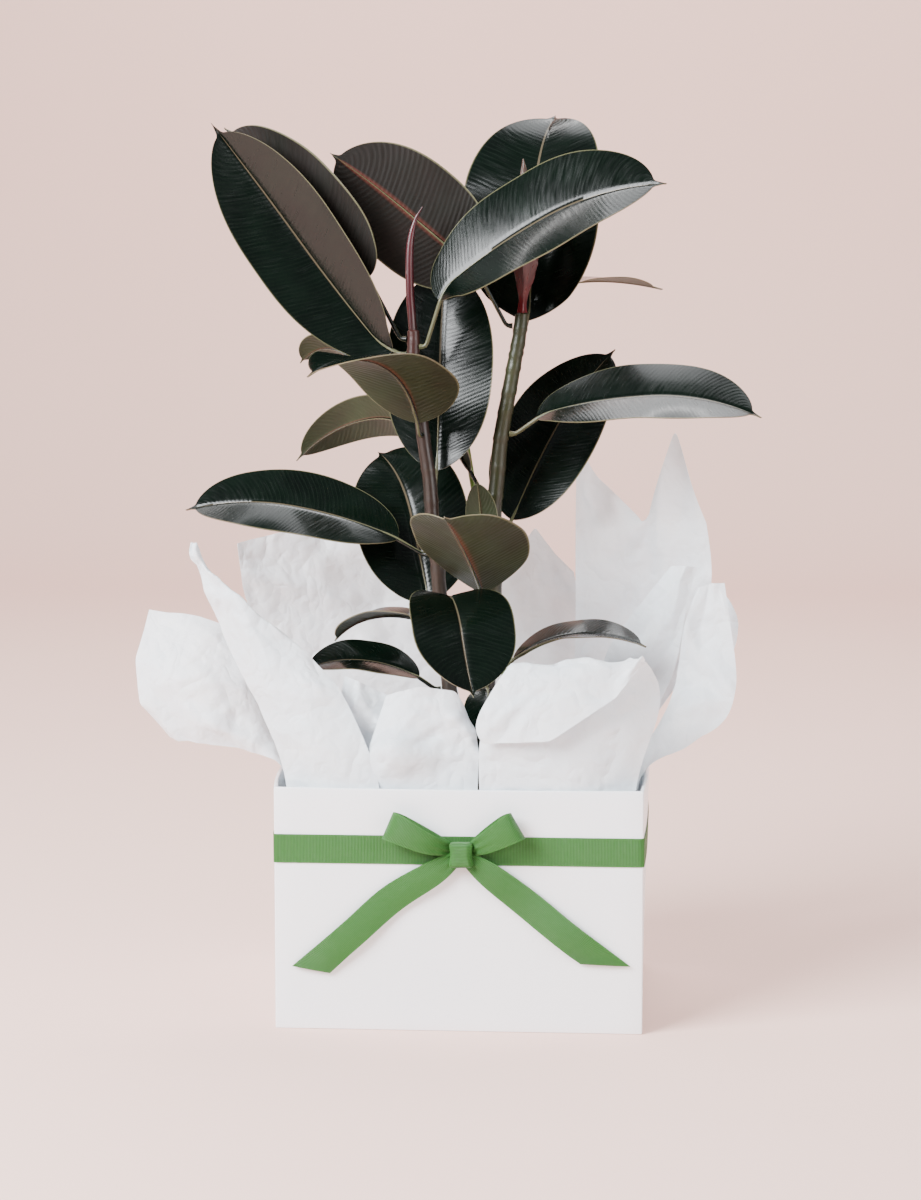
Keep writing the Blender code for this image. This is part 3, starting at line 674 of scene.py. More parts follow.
def bend_blade(mesh, leaf, line, number):
    """Fold, curl and wave the flat blade, with a groove along its midrib."""
    flat = get_points(mesh)
    t = (0.5 - 0.5 * np.cos(pi * (flat[:, 0] + 1) / 2)) * TIP_END
    q = flat[:, 1]
    half = np.maximum(leaf.width / 2 * blade_share(t), np.where(t < 0.5, 1.0, 0.25))
    reach = np.abs(q) * half
    lift = reach * sin(radians(leaf.fold)) - BLADE_CURL * reach ** 2 / leaf.width
    lift -= GROOVE_DEPTH * np.exp(-(reach / 1.3) ** 2) * (half > 2)
    phase = number * 2.4
    wave = np.sin(2 * pi * EDGE_WAVES * t + phase + np.where(q > 0, 1.3, 0.0))
    lift += EDGE_WAVE_HEIGHT * leaf.width * np.abs(q) ** 3 * wave * np.sin(pi * t)
    high = lift + flat[:, 2] / (FLAT_WALL / 2) * BLADE_HALF_THICKNESS
    s = leaf.petiole + leaf.length * t
    set_points(mesh, along_line(line, s, q * half * cos(radians(leaf.fold)), high))
    write_map(mesh, "leaf_map", leaf.length * t / 100, q)


def bend_rib(mesh, leaf, line):
    """Taper the round rib from its foot on the stem to the tip, half sunk in the blade."""
    flat = get_points(mesh)
    total = leaf.petiole + leaf.length
    s = (flat[:, 0] + 1) / 2 * total * TIP_END
    t = np.clip((s - leaf.petiole) / leaf.length, 0, 1)
    radius = np.where(s < leaf.petiole, STALK_RADIUS, 0.22 + 1.25 * (1 - t) ** 1.2)
    radius = radius * (1 + 0.5 * np.exp(-(s / 3.0) ** 2))
    sink = np.where(s < leaf.petiole, 0.0, np.minimum(1.0, t * 12) * (radius * 0.45 + 0.62))
    set_points(mesh, along_line(line, s, flat[:, 1] * radius, flat[:, 2] * radius - sink))
    write_map(mesh, "leaf_map", (s - leaf.petiole) / 100, np.arctan2(flat[:, 2], flat[:, 1]))


def copy_of(master, name):
    """A copy of an object with its own mesh."""
    made = master.copy()
    made.data = master.data.copy()
    made.name = made.data.name = name
    bpy.context.scene.collection.objects.link(made)
    return made


def grow_leaf(number, leaf):
    """One leaf: its own blade and rib, bent along its line and joined."""
    line = leaf_line(leaf)
    blade = copy_of(blade_master, f"rubber_leaf_{number:02d}")
    rib = copy_of(rib_master, f"rib_{number:02d}")
    bend_blade(blade.data, leaf, line, number)
    bend_rib(rib.data, leaf, line)
    for face in rib.data.polygons:
        face.material_index = RIB_SLOT
    rib.data.materials.clear()
    for material in blade.data.materials:
        rib.data.materials.append(material)
    select_only(blade)
    rib.select_set(True)
    bpy.ops.object.join()
    return blade


# %% [markdown]
# The upper skin is nearly black green and waxy. Fine parallel side veins leave the midrib every few
# millimetres, and they break each highlight into bright stripes. So the veins go into
# the bump and the roughness more than into the colour. The midrib is a pale groove and the edge a
# thin pale line.


# %% Veins shared by both sides of a leaf
UPPER_VEINS, UNDER_VEINS = 30.0, 24.0


def leaf_pattern(finish, per_decimetre):
    """Distance from the midrib as a share, side veins, and broken noise along the veins."""
    along, across = finish.map("leaf_map")
    share = finish.math("ABSOLUTE", across)
    drift = finish.fit(finish.noise(finish.place(), 24.0, 1.0), 0.3, 0.7, -0.012, 0.012)
    lean = finish.math("MULTIPLY", finish.math("POWER", share, 1.25), 0.16)
    station = finish.math("ADD", finish.math("SUBTRACT", along, lean), drift)
    turns = finish.math("MULTIPLY", station, per_decimetre * 2 * pi)
    wave = finish.math("SINE", turns)
    joined = finish.node("ShaderNodeCombineXYZ", {0: station, 1: finish.math("MULTIPLY", share, 0.05),
                                                  2: finish.math("SIGN", across)}).outputs[0]
    streaks = finish.noise(joined, 46.0, 2.0, 0.5)
    return share, wave, streaks


# %% Waxy upper skin
def upper_finish(name, dark, light, gloss):
    """Waxy skin: gloss is its least roughness, and a thin coat sharpens the highlights."""
    skin = Finish(name, IOR=1.45, Specular_IOR_Level=0.28, Coat_Weight=0.14, Coat_Roughness=0.10,
                  Coat_IOR=1.4)
    share, wave, streaks = leaf_pattern(skin, UPPER_VEINS)
    patches = skin.noise(skin.place(), 38.0, 3.0)
    body = skin.mix(skin.fit(patches, 0.3, 0.7), dark, light)
    veined = skin.mix(skin.fit(wave, 0.82, 1.0, 0.0, 0.5), body, (0.006, 0.011, 0.007))
    margin = skin.mix(skin.fit(share, 0.975, 0.992), veined, (0.085, 0.085, 0.045))
    ribbed = skin.mix(skin.fit(share, 0.022, 0.012), margin, (0.075, 0.060, 0.038))
    ripple = skin.math("ADD", skin.math("MULTIPLY", wave, 0.35), streaks)
    veins = skin.bump(ripple, 0.10, 0.0005)
    cells = skin.noise(skin.place(), 1500.0, 2.0)
    return skin.set(Base_Color=ribbed, Roughness=skin.fit(streaks, 0.3, 0.7, gloss, gloss + 0.16),
                    Normal=skin.bump(cells, 0.06, 0.0002, veins))


upper_skin = upper_finish("leaf_upper", (0.0006, 0.0019, 0.0012), (0.0013, 0.0042, 0.0024), 0.13)


# %% Matte underside, cut edge and rib
def under_finish(name, olive, shade):
    """Matte underside, flushed red along the midrib."""
    skin = Finish(name, IOR=1.42, Specular_IOR_Level=0.3)
    share, wave, streaks = leaf_pattern(skin, UNDER_VEINS)
    patches = skin.noise(skin.place(), 30.0, 3.0)
    body = skin.mix(skin.fit(patches, 0.3, 0.7), olive, shade)
    veined = skin.mix(skin.fit(wave, 0.7, 1.0, 0.0, 0.30), body, tuple(0.55 * c for c in olive))
    margin = skin.mix(skin.fit(share, 0.965, 0.985), veined, (0.10, 0.10, 0.055))
    flushed = skin.mix(skin.fit(share, 0.09, 0.0, 0.0, 0.55), margin, (0.15, 0.035, 0.022))
    ripple = skin.math("ADD", skin.math("MULTIPLY", wave, 0.5), streaks)
    return skin.set(Base_Color=flushed, Roughness=skin.fit(streaks, 0.3, 0.7, 0.42, 0.56),
                    Normal=skin.bump(ripple, 0.2, 0.0007))


under_olive = under_finish("leaf_under", (0.024, 0.033, 0.014), (0.020, 0.020, 0.010))
# A much darker copy of the underside: painted shade for the leaves that hang in shadow.
under_painted_shade = under_finish("leaf_under_painted_shade", (0.0055, 0.0058, 0.0042), (0.0075, 0.0050, 0.0042))

edge = Finish("leaf_edge", Roughness=0.45)
edge_blotches = edge.fit(edge.noise(edge.place(), 80.0), 0.35, 0.65)
edge_colour = edge.mix(edge_blotches, (0.10, 0.10, 0.05), (0.14, 0.11, 0.065))
pale_edge = edge.set(Base_Color=edge_colour)

stalk = Finish("stalk_and_rib", IOR=1.45)
stalk_along = stalk.map("leaf_map")[0]
stalk_grain = stalk.noise(stalk.place(), 180.0, 3.0)
stalk_tint = stalk.ramp(stalk.fit(stalk_along, -0.5, 2.0), [
    (0.0, (0.060, 0.055, 0.016)), (0.16, (0.085, 0.040, 0.016)), (0.24, (0.17, 0.018, 0.012)),
    (0.55, (0.095, 0.010, 0.011)), (1.0, (0.060, 0.012, 0.012))])
stalk_colour = stalk.mix(stalk.fit(stalk_grain, 0.35, 0.7, 0.0, 0.4), stalk_tint, (0.030, 0.014, 0.009))
stalk_skin = stalk.set(Base_Color=stalk_colour, Roughness=stalk.fit(stalk_grain, 0.3, 0.7, 0.32, 0.45),
                       Normal=stalk.bump(stalk_grain, 0.12, 0.0004))

# %% Grow the leaves
# Leaves 2 and 3 take the darker copy of the underside, which is painted shade.
SHADED_UNDERSIDES = (2, 3)
for number, leaf in enumerate(LEAVES, start=1):
    piece = grow_leaf(number, leaf)
    under = under_painted_shade if number in SHADED_UNDERSIDES else under_olive
    add_piece(piece, [], "leaf_blade", f"leaf_{number:02d}", angle=50)
    for index, material in enumerate((upper_skin, under, pale_edge, stalk_skin)):
        piece.data.materials[index] = material
for master in (blade_master, rib_master):
    bpy.data.objects.remove(master, do_unlink=True)

# %% [markdown]
# ## Tissue paper
# Thin white tissue wraps the pot and flares out of the box in points and folds. Each flap is a
# sheet: a grid laid on a few rows of points from its tucked-in edge to its free edge, smoothed by
# Subdivision Surface, then crumpled. Real tissue holds straight sharp creases with flat facets
# between them, so the crumple is a sum of straight ridges, each fading out to its sides.

# %% Rows of points for each sheet, in millimetres, tucked edge first
TISSUE = {
    "tissue_left_tongue": [
        [(-131, -62, 110), (-131, -40, 110), (-131, -24, 110), (-131, -8, 110)],
        [(-133, -62, 170), (-134, -42, 170), (-135, -24, 170), (-135, -6, 170)],
        [(-138, -60, 197), (-140, -44, 202), (-140, -24, 206), (-140, -6, 208)],
        [(-170, -56, 206), (-176, -64, 238), (-172, -52, 270), (-164, -26, 292)],
        [(-205, -52, 210), (-215, -68, 245), (-214, -58, 280), (-207, -30, 306)],
        [(-231, -45, 214), (-254, -50, 240), (-258, -44, 275), (-250, -28, 312)]],
    "tissue_left_spike": [
        [(-128, -96, 110), (-105, -106, 110), (-80, -110, 110), (-55, -110, 110)],
        [(-131, -94, 190), (-107, -106, 190), (-82, -110, 190), (-57, -110, 190)],
        [(-145, -92, 225), (-122, -108, 222), (-98, -108, 226), (-76, -102, 230)],
        [(-163, -86, 260), (-143, -104, 262), (-118, -100, 264), (-93, -90, 264)],
        [(-184, -80, 298), (-168, -92, 302), (-150, -90, 302), (-135, -80, 300)],
        [(-199, -76, 342), (-194, -80, 336), (-188, -80, 330), (-180, -76, 325)],
        [(-205, -74, 370), (-204, -75, 369), (-203, -75, 368), (-202, -74, 367)]],
    "tissue_back_left": [
        [(-120, 100, 80), (-85, 104, 80), (-45, 105, 80), (-10, 105, 80)],
        [(-130, 102, 192), (-95, 107, 192), (-50, 108, 192), (-8, 108, 192)],
        [(-172, 98, 260), (-118, 112, 260), (-65, 116, 260), (-20, 114, 260)],
        [(-195, 86, 315), (-140, 110, 315), (-85, 118, 315), (-52, 118, 308)],
        [(-196, 80, 355), (-162, 100, 363), (-120, 112, 370), (-76, 115, 345)]],
    "tissue_back_centre": [
        [(4, 107, 80), (30, 109, 80), (60, 109, 80), (85, 109, 80)],
        [(2, 108, 190), (30, 110, 190), (60, 110, 190), (90, 110, 190)],
        [(2, 112, 260), (30, 115, 260), (60, 115, 260), (92, 114, 260)],
        [(8, 112, 300), (32, 114, 310), (60, 116, 310), (86, 114, 300)],
        [(18, 110, 325), (48, 108, 368), (64, 112, 346), (80, 114, 330)]],
    "tissue_back_right": [
        [(60, 98, 80), (80, 103, 80), (100, 104, 80), (118, 102, 80), (130, 90, 80)],
        [(72, 98, 165), (88, 104, 165), (105, 106, 165), (120, 104, 165), (131, 92, 165)],
        [(76, 96, 200), (92, 104, 200), (110, 106, 200), (124, 104, 200), (136, 92, 200)],
        [(83, 86, 262), (105, 100, 262), (130, 106, 262), (155, 100, 258), (180, 84, 255)],
        [(83, 76, 345), (108, 96, 340), (136, 106, 335), (162, 98, 330), (198, 80, 325)],
        [(84, 70, 438), (103, 88, 408), (139, 100, 372), (162, 84, 450), (188, 78, 374)]],
    "tissue_right_strip": [
        [(108, 80, 90), (121, 68, 90), (131, 54, 90)],
        [(100, 84, 172), (118, 72, 172), (132, 54, 172)],
        [(100, 82, 202), (119, 72, 202), (136, 54, 202)],
        [(100, 72, 262), (136, 62, 256), (164, 48, 250)],
        [(128, 64, 300), (150, 56, 300), (171, 46, 300)],
        [(160, 54, 341), (171, 51, 342), (181, 48, 341)]],
    "tissue_right_corner": [
        [(133, 40, 110), (132, 30, 110), (132, 20, 110)],
        [(134, 40, 170), (135, 31, 170), (134, 23, 170)],
        [(137, 40, 200), (138, 31, 200), (138, 23, 200)],
        [(165, 36, 228), (172, 30, 226), (178, 22, 224)],
        [(185, 30, 290), (200, 26, 286), (221, 22, 288)],
        [(190, 28, 326), (198, 24, 324), (206, 20, 318)]],
    "tissue_right": [
        [(133, 10, 110), (132, -15, 110), (131, -42, 110)],
        [(134, 12, 170), (134, -14, 170), (133, -42, 170)],
        [(138, 10, 200), (138, -14, 198), (138, -42, 196)],
        [(160, 2, 228), (168, -14, 218), (180, -30, 209)],
        [(166, 0, 262), (188, -10, 250), (214, -18, 233)],
        [(172, 2, 300), (192, -4, 290), (211, -8, 277)],
        [(181, 4, 329), (192, 4, 332), (202, 2, 333)]],
    "tissue_front_left_inner": [
        [(-95, -96, 110), (-65, -101, 110), (-35, -103, 110)],
        [(-98, -92, 190), (-65, -98, 190), (-30, -100, 190)],
        [(-96, -82, 230), (-68, -86, 230), (-35, -88, 230)],
        [(-90, -74, 267), (-68, -76, 258), (-40, -78, 248)]],
    "tissue_front_left": [
        [(-75, -105, 110), (-45, -107, 110), (-15, -107, 110), (12, -105, 110)],
        [(-78, -105, 190), (-48, -107, 190), (-15, -107, 190), (14, -105, 190)],
        [(-66, -98, 225), (-45, -110, 225), (-18, -110, 225), (16, -102, 222)],
        [(-56, -92, 254), (-30, -100, 263), (-4, -96, 259), (8, -92, 238)]],
    "tissue_front_right": [
        [(18, -110, 110), (60, -110, 110), (100, -109, 110), (128, -98, 110)],
        [(16, -110, 190), (62, -110, 190), (102, -110, 190), (132, -97, 192)],
        [(14, -110, 225), (66, -116, 225), (112, -112, 225), (146, -88, 225)],
        [(28, -104, 262), (70, -110, 262), (118, -106, 262), (156, -82, 259)],
        [(42, -98, 283), (80, -100, 286), (122, -98, 286), (140, -92, 284)],
        [(38, -108, 281), (80, -112, 286), (122, -108, 285), (140, -98, 284)],
        [(8, -118, 236), (50, -124, 252), (100, -118, 268), (138, -104, 281)],
        [(20, -119, 222), (70, -126, 226), (118, -118, 258), (137, -105, 280)]],
}

# %% The size each sheet would have if it lay flat: width, length and area
FLAT_SIZES = {
    "tissue_left_tongue": (0.115, 0.277, 0.0180),
    "tissue_left_spike": (0.079, 0.320, 0.0162),
    "tissue_back_left": (0.154, 0.306, 0.0362),
    "tissue_back_centre": (0.103, 0.291, 0.0218),
    "tissue_back_right": (0.256, 0.379, 0.0309),
    "tissue_right_strip": (0.070, 0.274, 0.0117),
    "tissue_right_corner": (0.038, 0.248, 0.0050),
    "tissue_right": (0.059, 0.278, 0.0112),
    "tissue_front_left_inner": (0.069, 0.160, 0.0093),
    "tissue_front_left": (0.092, 0.157, 0.0127),
    "tissue_front_right": (0.141, 0.273, 0.0279),
}


SHEET_LEVELS, FREE_EDGE_CREASE, CREASES, TISSUE_WALL = 4, 0.9, 26, 0.00025


def lay_sheet(name, rows):
    """A grid with one corner on each point of the rows, smoothed, and mapped from 0 to 1 across and along."""
    columns, count = len(rows[0]), len(rows)
    sheet = new_primitive(name, bpy.ops.mesh.primitive_grid_add, x_subdivisions=columns - 1,
                          y_subdivisions=count - 1, size=2.0)
    flat = get_points(sheet.data)
    column = np.rint((flat[:, 0] + 1) / 2 * (columns - 1)).astype(int)
    row = np.rint((flat[:, 1] + 1) / 2 * (count - 1)).astype(int)
    set_points(sheet.data, np.array(rows, dtype=float)[row, column] * MM)
    write_map(sheet.data, "sheet_map", column / (columns - 1), row / (count - 1))
    crisp = sheet.data.attributes.new("crease_vert", "FLOAT", "POINT")
    crisp.data.foreach_set("value", np.where(row == count - 1, FREE_EDGE_CREASE, 0.0))
    smooth = sheet.modifiers.new("smooth", "SUBSURF")
    smooth.levels = SHEET_LEVELS
    smooth.render_levels = SHEET_LEVELS
    smooth.boundary_smooth = "PRESERVE_CORNERS"
    apply_modifiers(sheet)
    return sheet


def vertex_map(mesh, name):
    """The UV map of a sheet as one pair for each vertex."""
    pairs = np.empty(len(mesh.loops) * 2)
    mesh.uv_layers[name].data.foreach_get("uv", pairs)
    out = np.zeros((len(mesh.vertices), 2))
    out[corner_vertices(mesh)] = pairs.reshape(-1, 2)
    return out


def vertex_normals(mesh):
    """The way each vertex faces."""
    normals = np.empty(len(mesh.vertices) * 3)
    mesh.vertices.foreach_get("normal", normals)
    return normals.reshape(-1, 3)


def crumple(mesh, size, seed):
    """Push straight ridges into a sheet of that flat size, deepest near its free edge."""
    chance = np.random.default_rng(seed)
    where = vertex_map(mesh, "sheet_map")
    u, v = where[:, 0] * size[0] * 1000, where[:, 1] * size[1] * 1000
    height = np.zeros(len(where))
    for _ in range(CREASES):
        at = chance.uniform(0, 1, 2) * np.array(size) * 1000
        angle = chance.normal(pi / 2, 0.75)
        across = (u - at[0]) * sin(angle) - (v - at[1]) * cos(angle)
        along = (u - at[0]) * cos(angle) + (v - at[1]) * sin(angle)
        width = chance.uniform(6, 30)
        reach = chance.uniform(18, 70)
        sign = chance.choice((-1.0, 1.0))
        fade = np.clip(1 - np.abs(along) / reach, 0, 1) ** 0.6
        height += sign * width * chance.uniform(0.14, 0.36) * np.clip(1 - np.abs(across) / width, 0, 1) * fade
    phase = chance.uniform(0, 2 * pi)
    flutes = np.sin(u / chance.uniform(9, 13) + v / 45 + phase) * chance.uniform(1.0, 1.8)
    height += flutes * where[:, 1] ** 2
    free = np.clip((where[:, 1] - 0.30) / 0.3, 0.05, 1)
    points = get_points(mesh) + vertex_normals(mesh) * (height * free * MM)[:, None]
    set_points(mesh, points)


# %% White tissue
tissue = Finish("white_tissue", Subsurface_Weight=0.30, Subsurface_Scale=0.006, Sheen_Weight=0.15,
                Sheen_Roughness=0.4, IOR=1.4)
tissue.shader.inputs["Subsurface Radius"].default_value = (1.0, 1.0, 1.0)
spot = tissue.place()
pulp = tissue.noise(spot, 420.0, 4.0, 0.65)
cloudy = tissue.noise(spot, 26.0, 3.0)
tissue_tint = tissue.mix(tissue.fit(cloudy, 0.3, 0.7), (0.80, 0.89, 0.96), (0.88, 0.94, 0.98))
tissue_flecked = tissue.mix(tissue.fit(pulp, 0.35, 0.7, 0.0, 0.25), tissue_tint, (0.80, 0.85, 0.90))
wander = tissue.noise(spot, 21.0, 2.0, 0.5, 0.4)
sharp_folds = tissue.math("ABSOLUTE", tissue.math("SUBTRACT", wander, 0.5))
small_folds = tissue.math("ABSOLUTE", tissue.math("SUBTRACT", tissue.noise(spot, 60.0, 2.0, 0.5, 0.3), 0.5))
wrinkles = tissue.math("ADD", sharp_folds, tissue.math("MULTIPLY", small_folds, 0.35))
tissue_relief = tissue.bump(wrinkles, 0.6, 0.016)
white_tissue = tissue.set(Base_Color=tissue_flecked, Roughness=tissue.fit(pulp, 0.3, 0.7, 0.45, 0.62),
                          Normal=tissue.bump(pulp, 0.10, 0.0003, tissue_relief))

# %% Lay, crumple and thicken the sheets
for seed, (name, rows) in enumerate(TISSUE.items(), start=11):
    sheet = lay_sheet(name.replace("tissue", "wrap"), rows)
    width, length, area = FLAT_SIZES[name]
    crumple(sheet.data, (width, length), seed)
    add_wall(sheet, TISSUE_WALL, 0.0)
    apply_modifiers(sheet)
    add_piece(sheet, [white_tissue], "tissue_paper", name, angle=60)

# %% [markdown]
# ## Ribbon and bow
# The ribbon is 22 mm green grosgrain, woven with fine ribs across it. One length goes round the
# box and a second is tied over it at the front, with two small loops and two long tails that lie
# down over the card. Each is a strip of grid bent to its line, because a ribbon bends only along
# its length, and the ribs follow the strip's own map.

# %% Wrap the band round the box
RIBBON_WIDTH, RIBBON_WALL, RIBBON_Z = 22.0, 0.45, 140.0
CORNER, PROUD = 2.0, 0.35
BAND_STEPS, RIBS_PER_CM, THREADS_ACROSS = 420, 9.0, 34.0


def box_ring():
    """Points round the box, in millimetres, proud of its walls and rounded at the corners."""
    half_x, half_y = BOX_WIDTH / MM / 2 + PROUD, BOX_DEPTH / MM / 2 + PROUD
    out = []
    for sx, sy, start in ((1, -1, -90), (1, 1, 0), (-1, 1, 90), (-1, -1, 180)):
        centre = np.array([sx * (half_x - CORNER), sy * (half_y - CORNER)])
        for angle in np.linspace(start, start + 90, 7):
            out.append(centre + CORNER * np.array([cos(radians(angle)), sin(radians(angle))]))
    start = np.array([0.0, -half_y])
    return np.array([start] + out + [start])


def walk(path, shares):
    """Points at shares of the way along a path, and the path's length."""
    lengths = np.concatenate([[0], np.cumsum(np.linalg.norm(np.diff(path, axis=0), axis=1))])
    at = shares * lengths[-1]
    return np.column_stack([np.interp(at, lengths, path[:, k]) for k in range(path.shape[1])]), lengths[-1]


band = new_primitive("ribbon_wrap", bpy.ops.mesh.primitive_grid_add, x_subdivisions=BAND_STEPS,
                     y_subdivisions=6, size=2.0)
flat = get_points(band.data)
ring, ribbon_around = walk(box_ring(), (flat[:, 0] + 1) / 2)
z = RIBBON_Z + flat[:, 1] * RIBBON_WIDTH / 2
laid = np.column_stack([ring[:, 0], ring[:, 1], z]) * MM
laid[:, 0] += wall_bow(*laid.T)
set_points(band.data, laid)
write_map(band.data, "ribbon_map", (flat[:, 0] + 1) / 2 * ribbon_around / 10, flat[:, 1])
bpy.ops.object.mode_set(mode="EDIT")
bpy.ops.mesh.select_all(action="SELECT")
bpy.ops.mesh.remove_doubles(threshold=0.00002)
bpy.ops.mesh.normals_make_consistent(inside=False)
bpy.ops.object.mode_set(mode="OBJECT")
print("ribbon round the box:", round(ribbon_around), "mm")

# %% Green grosgrain
grosgrain = Finish("green_grosgrain", Sheen_Weight=0.05, Sheen_Roughness=0.35, IOR=1.45)
ribbon_along, ribbon_across = grosgrain.map("ribbon_map")
ribs = grosgrain.math("SINE", grosgrain.math("MULTIPLY", ribbon_along, 2 * pi * RIBS_PER_CM))
threads = grosgrain.math("SINE", grosgrain.math("MULTIPLY", ribbon_across, 2 * pi * THREADS_ACROSS))
slub = grosgrain.noise(grosgrain.place(), 260.0, 3.0)
selvedge = grosgrain.fit(grosgrain.math("ABSOLUTE", ribbon_across), 0.88, 0.93)
ribbon_tint = grosgrain.mix(grosgrain.fit(ribs, -1.0, 1.0), (0.010, 0.070, 0.006), (0.024, 0.150, 0.014))
ribbon_slub = grosgrain.mix(grosgrain.fit(slub, 0.4, 0.7, 0.0, 0.3), ribbon_tint, (0.017, 0.11, 0.011))
ribbon_colour = grosgrain.mix(grosgrain.math("MULTIPLY", selvedge, 0.35), ribbon_slub, (0.032, 0.18, 0.022))
weave = grosgrain.math("ADD", grosgrain.math("MULTIPLY", ribs, 0.8), grosgrain.math("MULTIPLY", threads, 0.2))
green_grosgrain = grosgrain.set(Base_Color=ribbon_colour, Roughness=grosgrain.fit(slub, 0.3, 0.7, 0.42, 0.6),
                                Normal=grosgrain.bump(weave, 0.5, 0.0004))

add_wall(band, RIBBON_WALL * MM, 1.0)
apply_modifiers(band)
add_piece(band, [green_grosgrain], "ribbon_green", "ribbon_band")

# %% Loops and tails, in millimetres: x, y, z, half width
BOW = {
    "bow_loop_left": [(-4, -119, 141, 5), (-22, -131, 148, 8), (-46, -134, 160, 11), (-52, -127, 161, 11),
                      (-44, -120, 157, 11), (-22, -118.5, 148, 8), (-5, -117.5, 141, 5)],
    "bow_loop_right": [(9, -119, 141, 5), (22, -131, 149, 8), (40, -134, 160, 11), (46, -127, 162, 11),
                       (38, -120, 158, 11), (22, -118.5, 149, 8), (10, -117.5, 141, 5)],
    "bow_tail_left": [(0, -121, 136, 5), (-18, -122, 124, 9.5), (-50, -119, 103, 11), (-80, -121, 76, 11),
                      (-112, -118, 47, 11)],
    "bow_tail_right": [(6, -121, 136, 5), (24, -122, 123, 9.5), (52, -119, 101, 11), (82, -121, 77, 11),
                       (112, -118, 54, 11)],
}
CUT_SLANT = {"bow_tail_left": -0.9, "bow_tail_right": 1.4}


STRIP_STEP, STRIP_CUP, FULL_HALF_WIDTH = 2.0, 0.8, 11.0


def bend_strip(name, line, slant):
    """A strip laid along a line, standing across it in the plane of the box's front."""
    path = smooth_path(line, STRIP_STEP)
    strip = new_primitive(name.replace("bow", "ribbon"), bpy.ops.mesh.primitive_grid_add,
                          x_subdivisions=len(path) - 1, y_subdivisions=8, size=2.0)
    flat = get_points(strip.data)
    station = np.rint((flat[:, 0] + 1) / 2 * (len(path) - 1)).astype(int)
    first, far = path[0, :3], max(path, key=lambda p: np.linalg.norm(p[:3] - path[0, :3]))[:3]
    along = far - first
    across = np.array([-along[2], 0.0, along[0]])
    across = across / np.linalg.norm(across)
    q = flat[:, 1]
    half = path[station, 3]
    pinch = np.clip(1 - half / FULL_HALF_WIDTH, 0, 1)
    end = np.clip((station / (len(path) - 1) - 0.8) / 0.2, 0, 1) * slant
    laid = path[station, :3] + across * (q * half)[:, None]
    laid += (along / np.linalg.norm(along)) * (q * half * end)[:, None]
    laid[:, 1] -= STRIP_CUP * (1 - q ** 2) + 1.6 * pinch * np.cos(q * 2.5 * pi)
    set_points(strip.data, laid * MM)
    lengths = np.concatenate([[0], np.cumsum(np.linalg.norm(np.diff(path[:, :3], axis=0), axis=1))])
    write_map(strip.data, "ribbon_map", lengths[station] / 10, q)
    add_wall(strip, RIBBON_WALL * MM, 0.0)
    apply_modifiers(strip)
    return strip


for name, line in BOW.items():
    strip = bend_strip(name, line, CUT_SLANT.get(name, 0.0))
    add_piece(strip, [green_grosgrain], "ribbon_green", name)

# %% Knot
KNOT_SIZE, KNOT_PLACE = (0.020, 0.012, 0.019), (0.003, -0.124, 0.1385)
KNOT_EDGE, KNOT_FOLD, KNOT_WAIST = 0.0035, 0.0007, 0.80
knot = new_primitive("ribbon_knot", bpy.ops.mesh.primitive_cube_add, size=1.0, location=KNOT_PLACE,
                     scale=KNOT_SIZE)
bpy.ops.object.mode_set(mode="EDIT")
bpy.ops.mesh.select_all(action="SELECT")
bpy.ops.mesh.bevel(offset=KNOT_EDGE, segments=3, affect="EDGES")
bpy.ops.mesh.subdivide(number_cuts=3)
bpy.ops.object.mode_set(mode="OBJECT")
points = get_points(knot.data)
local = (points - np.array(KNOT_PLACE)) / (np.array(KNOT_SIZE) / 2)
folds = KNOT_FOLD * np.cos(local[:, 0] * 2.2 * pi + local[:, 2]) * (local[:, 1] < 0)
points[:, 1] += folds
waist = KNOT_WAIST + (1 - KNOT_WAIST) * local[:, 2] ** 2
points[:, 0] = KNOT_PLACE[0] + (points[:, 0] - KNOT_PLACE[0]) * waist
set_points(knot.data, points)
write_map(knot.data, "ribbon_map", points[:, 2] * 100, local[:, 0])
add_piece(knot, [green_grosgrain], "ribbon_green", "bow_knot", angle=60)

# %% [markdown]
# ## Studio
# A pale floor that curves up into a pale wall, with soft light from large lamps. The wall stands
# four metres back, so that a camera has room to go round behind the plant, and has a lamp of its
# own, because the others are too far away to light it. The leaves are
# nearly black, so what shows on them is mostly the reflection of the lamps, and a big key lamp high
# on the left draws the broad striped highlights.

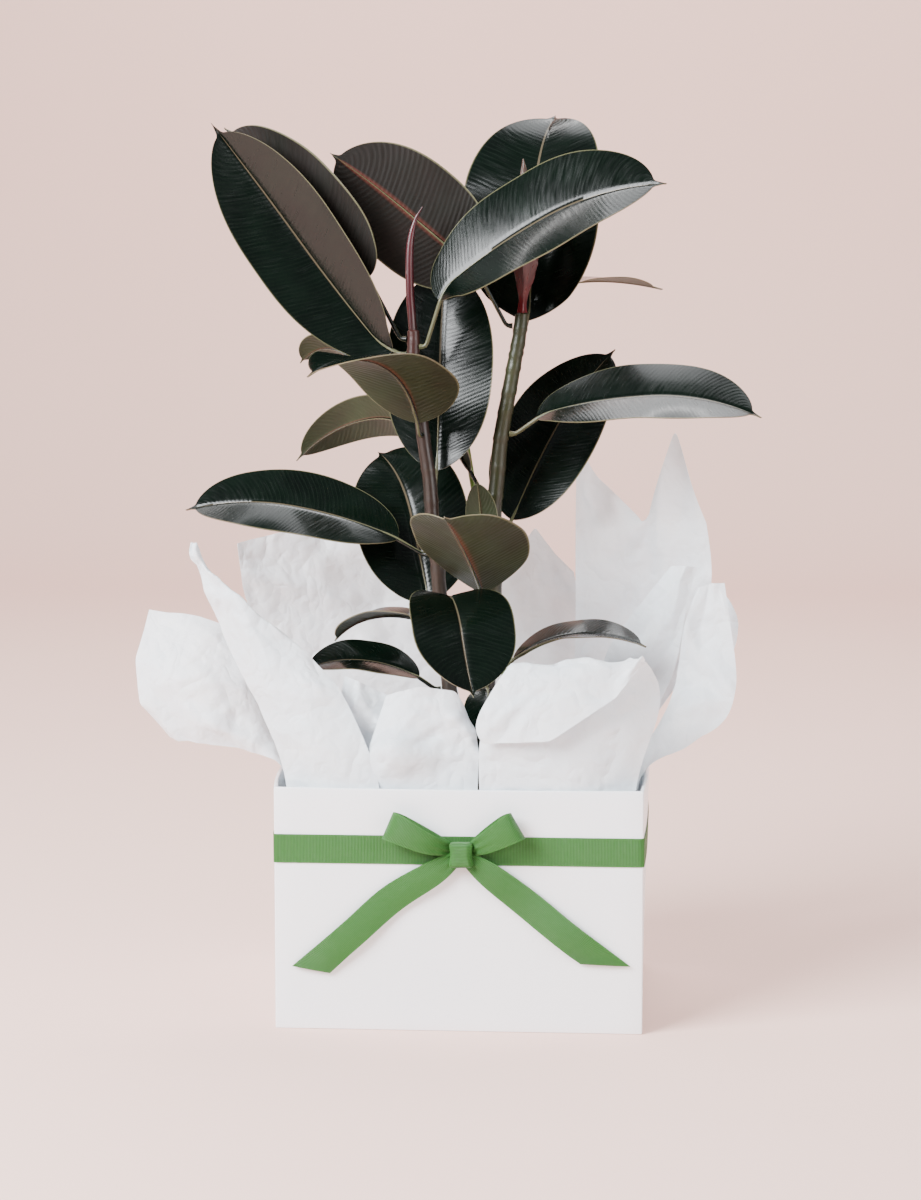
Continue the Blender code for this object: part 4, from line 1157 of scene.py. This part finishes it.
# %% Floor that sweeps up into a wall
sweep = new_primitive("studio_sweep", bpy.ops.mesh.primitive_grid_add, x_subdivisions=2, y_subdivisions=80,
                      size=2.0)
flat = get_points(sweep.data)
FLOOR_FRONT, BEND_START, BEND_RADIUS, WALL_TOP, SWEEP_HALF_WIDTH = -6.0, 3.2, 0.8, 4.0, 6.0
run = (flat[:, 1] + 1) / 2 * (BEND_START - FLOOR_FRONT + BEND_RADIUS * pi / 2 + WALL_TOP)
turn = np.clip((run - (BEND_START - FLOOR_FRONT)) / BEND_RADIUS, 0, pi / 2)
rise = np.clip(run - (BEND_START - FLOOR_FRONT) - BEND_RADIUS * pi / 2, 0, None)
y = np.minimum(FLOOR_FRONT + run, BEND_START) + BEND_RADIUS * np.sin(turn)
z = BEND_RADIUS * (1 - np.cos(turn)) + rise
set_points(sweep.data, np.column_stack([flat[:, 0] * SWEEP_HALF_WIDTH, y, z]))
select_only(sweep)
bpy.ops.object.shade_smooth_by_angle(angle=radians(60))
backdrop = Finish("pale_backdrop", Roughness=0.85, Specular_IOR_Level=0.2)
backdrop_tint = backdrop.mix(backdrop.fit(backdrop.noise(backdrop.place(), 1.2), 0.3, 0.7),
                             (0.90, 0.62, 0.54), (0.92, 0.64, 0.56))
sweep.data.materials.append(backdrop.set(Base_Color=backdrop_tint))


# %% Lamps
def add_lamp(name, place, target, size, power, colour=(1.0, 1.0, 1.0)):
    lamp = bpy.data.lights.new(name, "AREA")
    lamp.shape = "RECTANGLE"
    lamp.size, lamp.size_y = size
    lamp.energy = power
    lamp.color = colour
    made = bpy.data.objects.new(name, lamp)
    made.location = place
    made.rotation_euler = (Vector(target) - Vector(place)).to_track_quat("-Z", "Y").to_euler()
    bpy.context.scene.collection.objects.link(made)


add_lamp("key", (-1.5, -1.5, 1.55), (0, 0, 0.40), (1.5, 1.3), 230.0, (0.96, 0.98, 1.0))
add_lamp("fill", (1.7, -1.3, 0.9), (0, 0, 0.30), (1.4, 1.4), 40.0)
add_lamp("wall", (0.0, 1.6, 3.0), (0, 4.0, 0.7), (4.0, 1.0), 150.0, (1.0, 0.98, 0.97))
add_lamp("top", (0.3, 0.7, 2.0), (0, 0, 0.35), (1.6, 1.2), 32.0, (0.97, 0.98, 1.0))
world = bpy.data.worlds.new("studio_air")
world.use_nodes = True
AIR_COLOUR, AIR_STRENGTH = (0.93, 0.95, 1.0, 1.0), 0.24
air = world.node_tree.nodes["Background"]
air.inputs["Color"].default_value = AIR_COLOUR
air.inputs["Strength"].default_value = AIR_STRENGTH
bpy.context.scene.world = world
print("four lamps and a pale sweep")
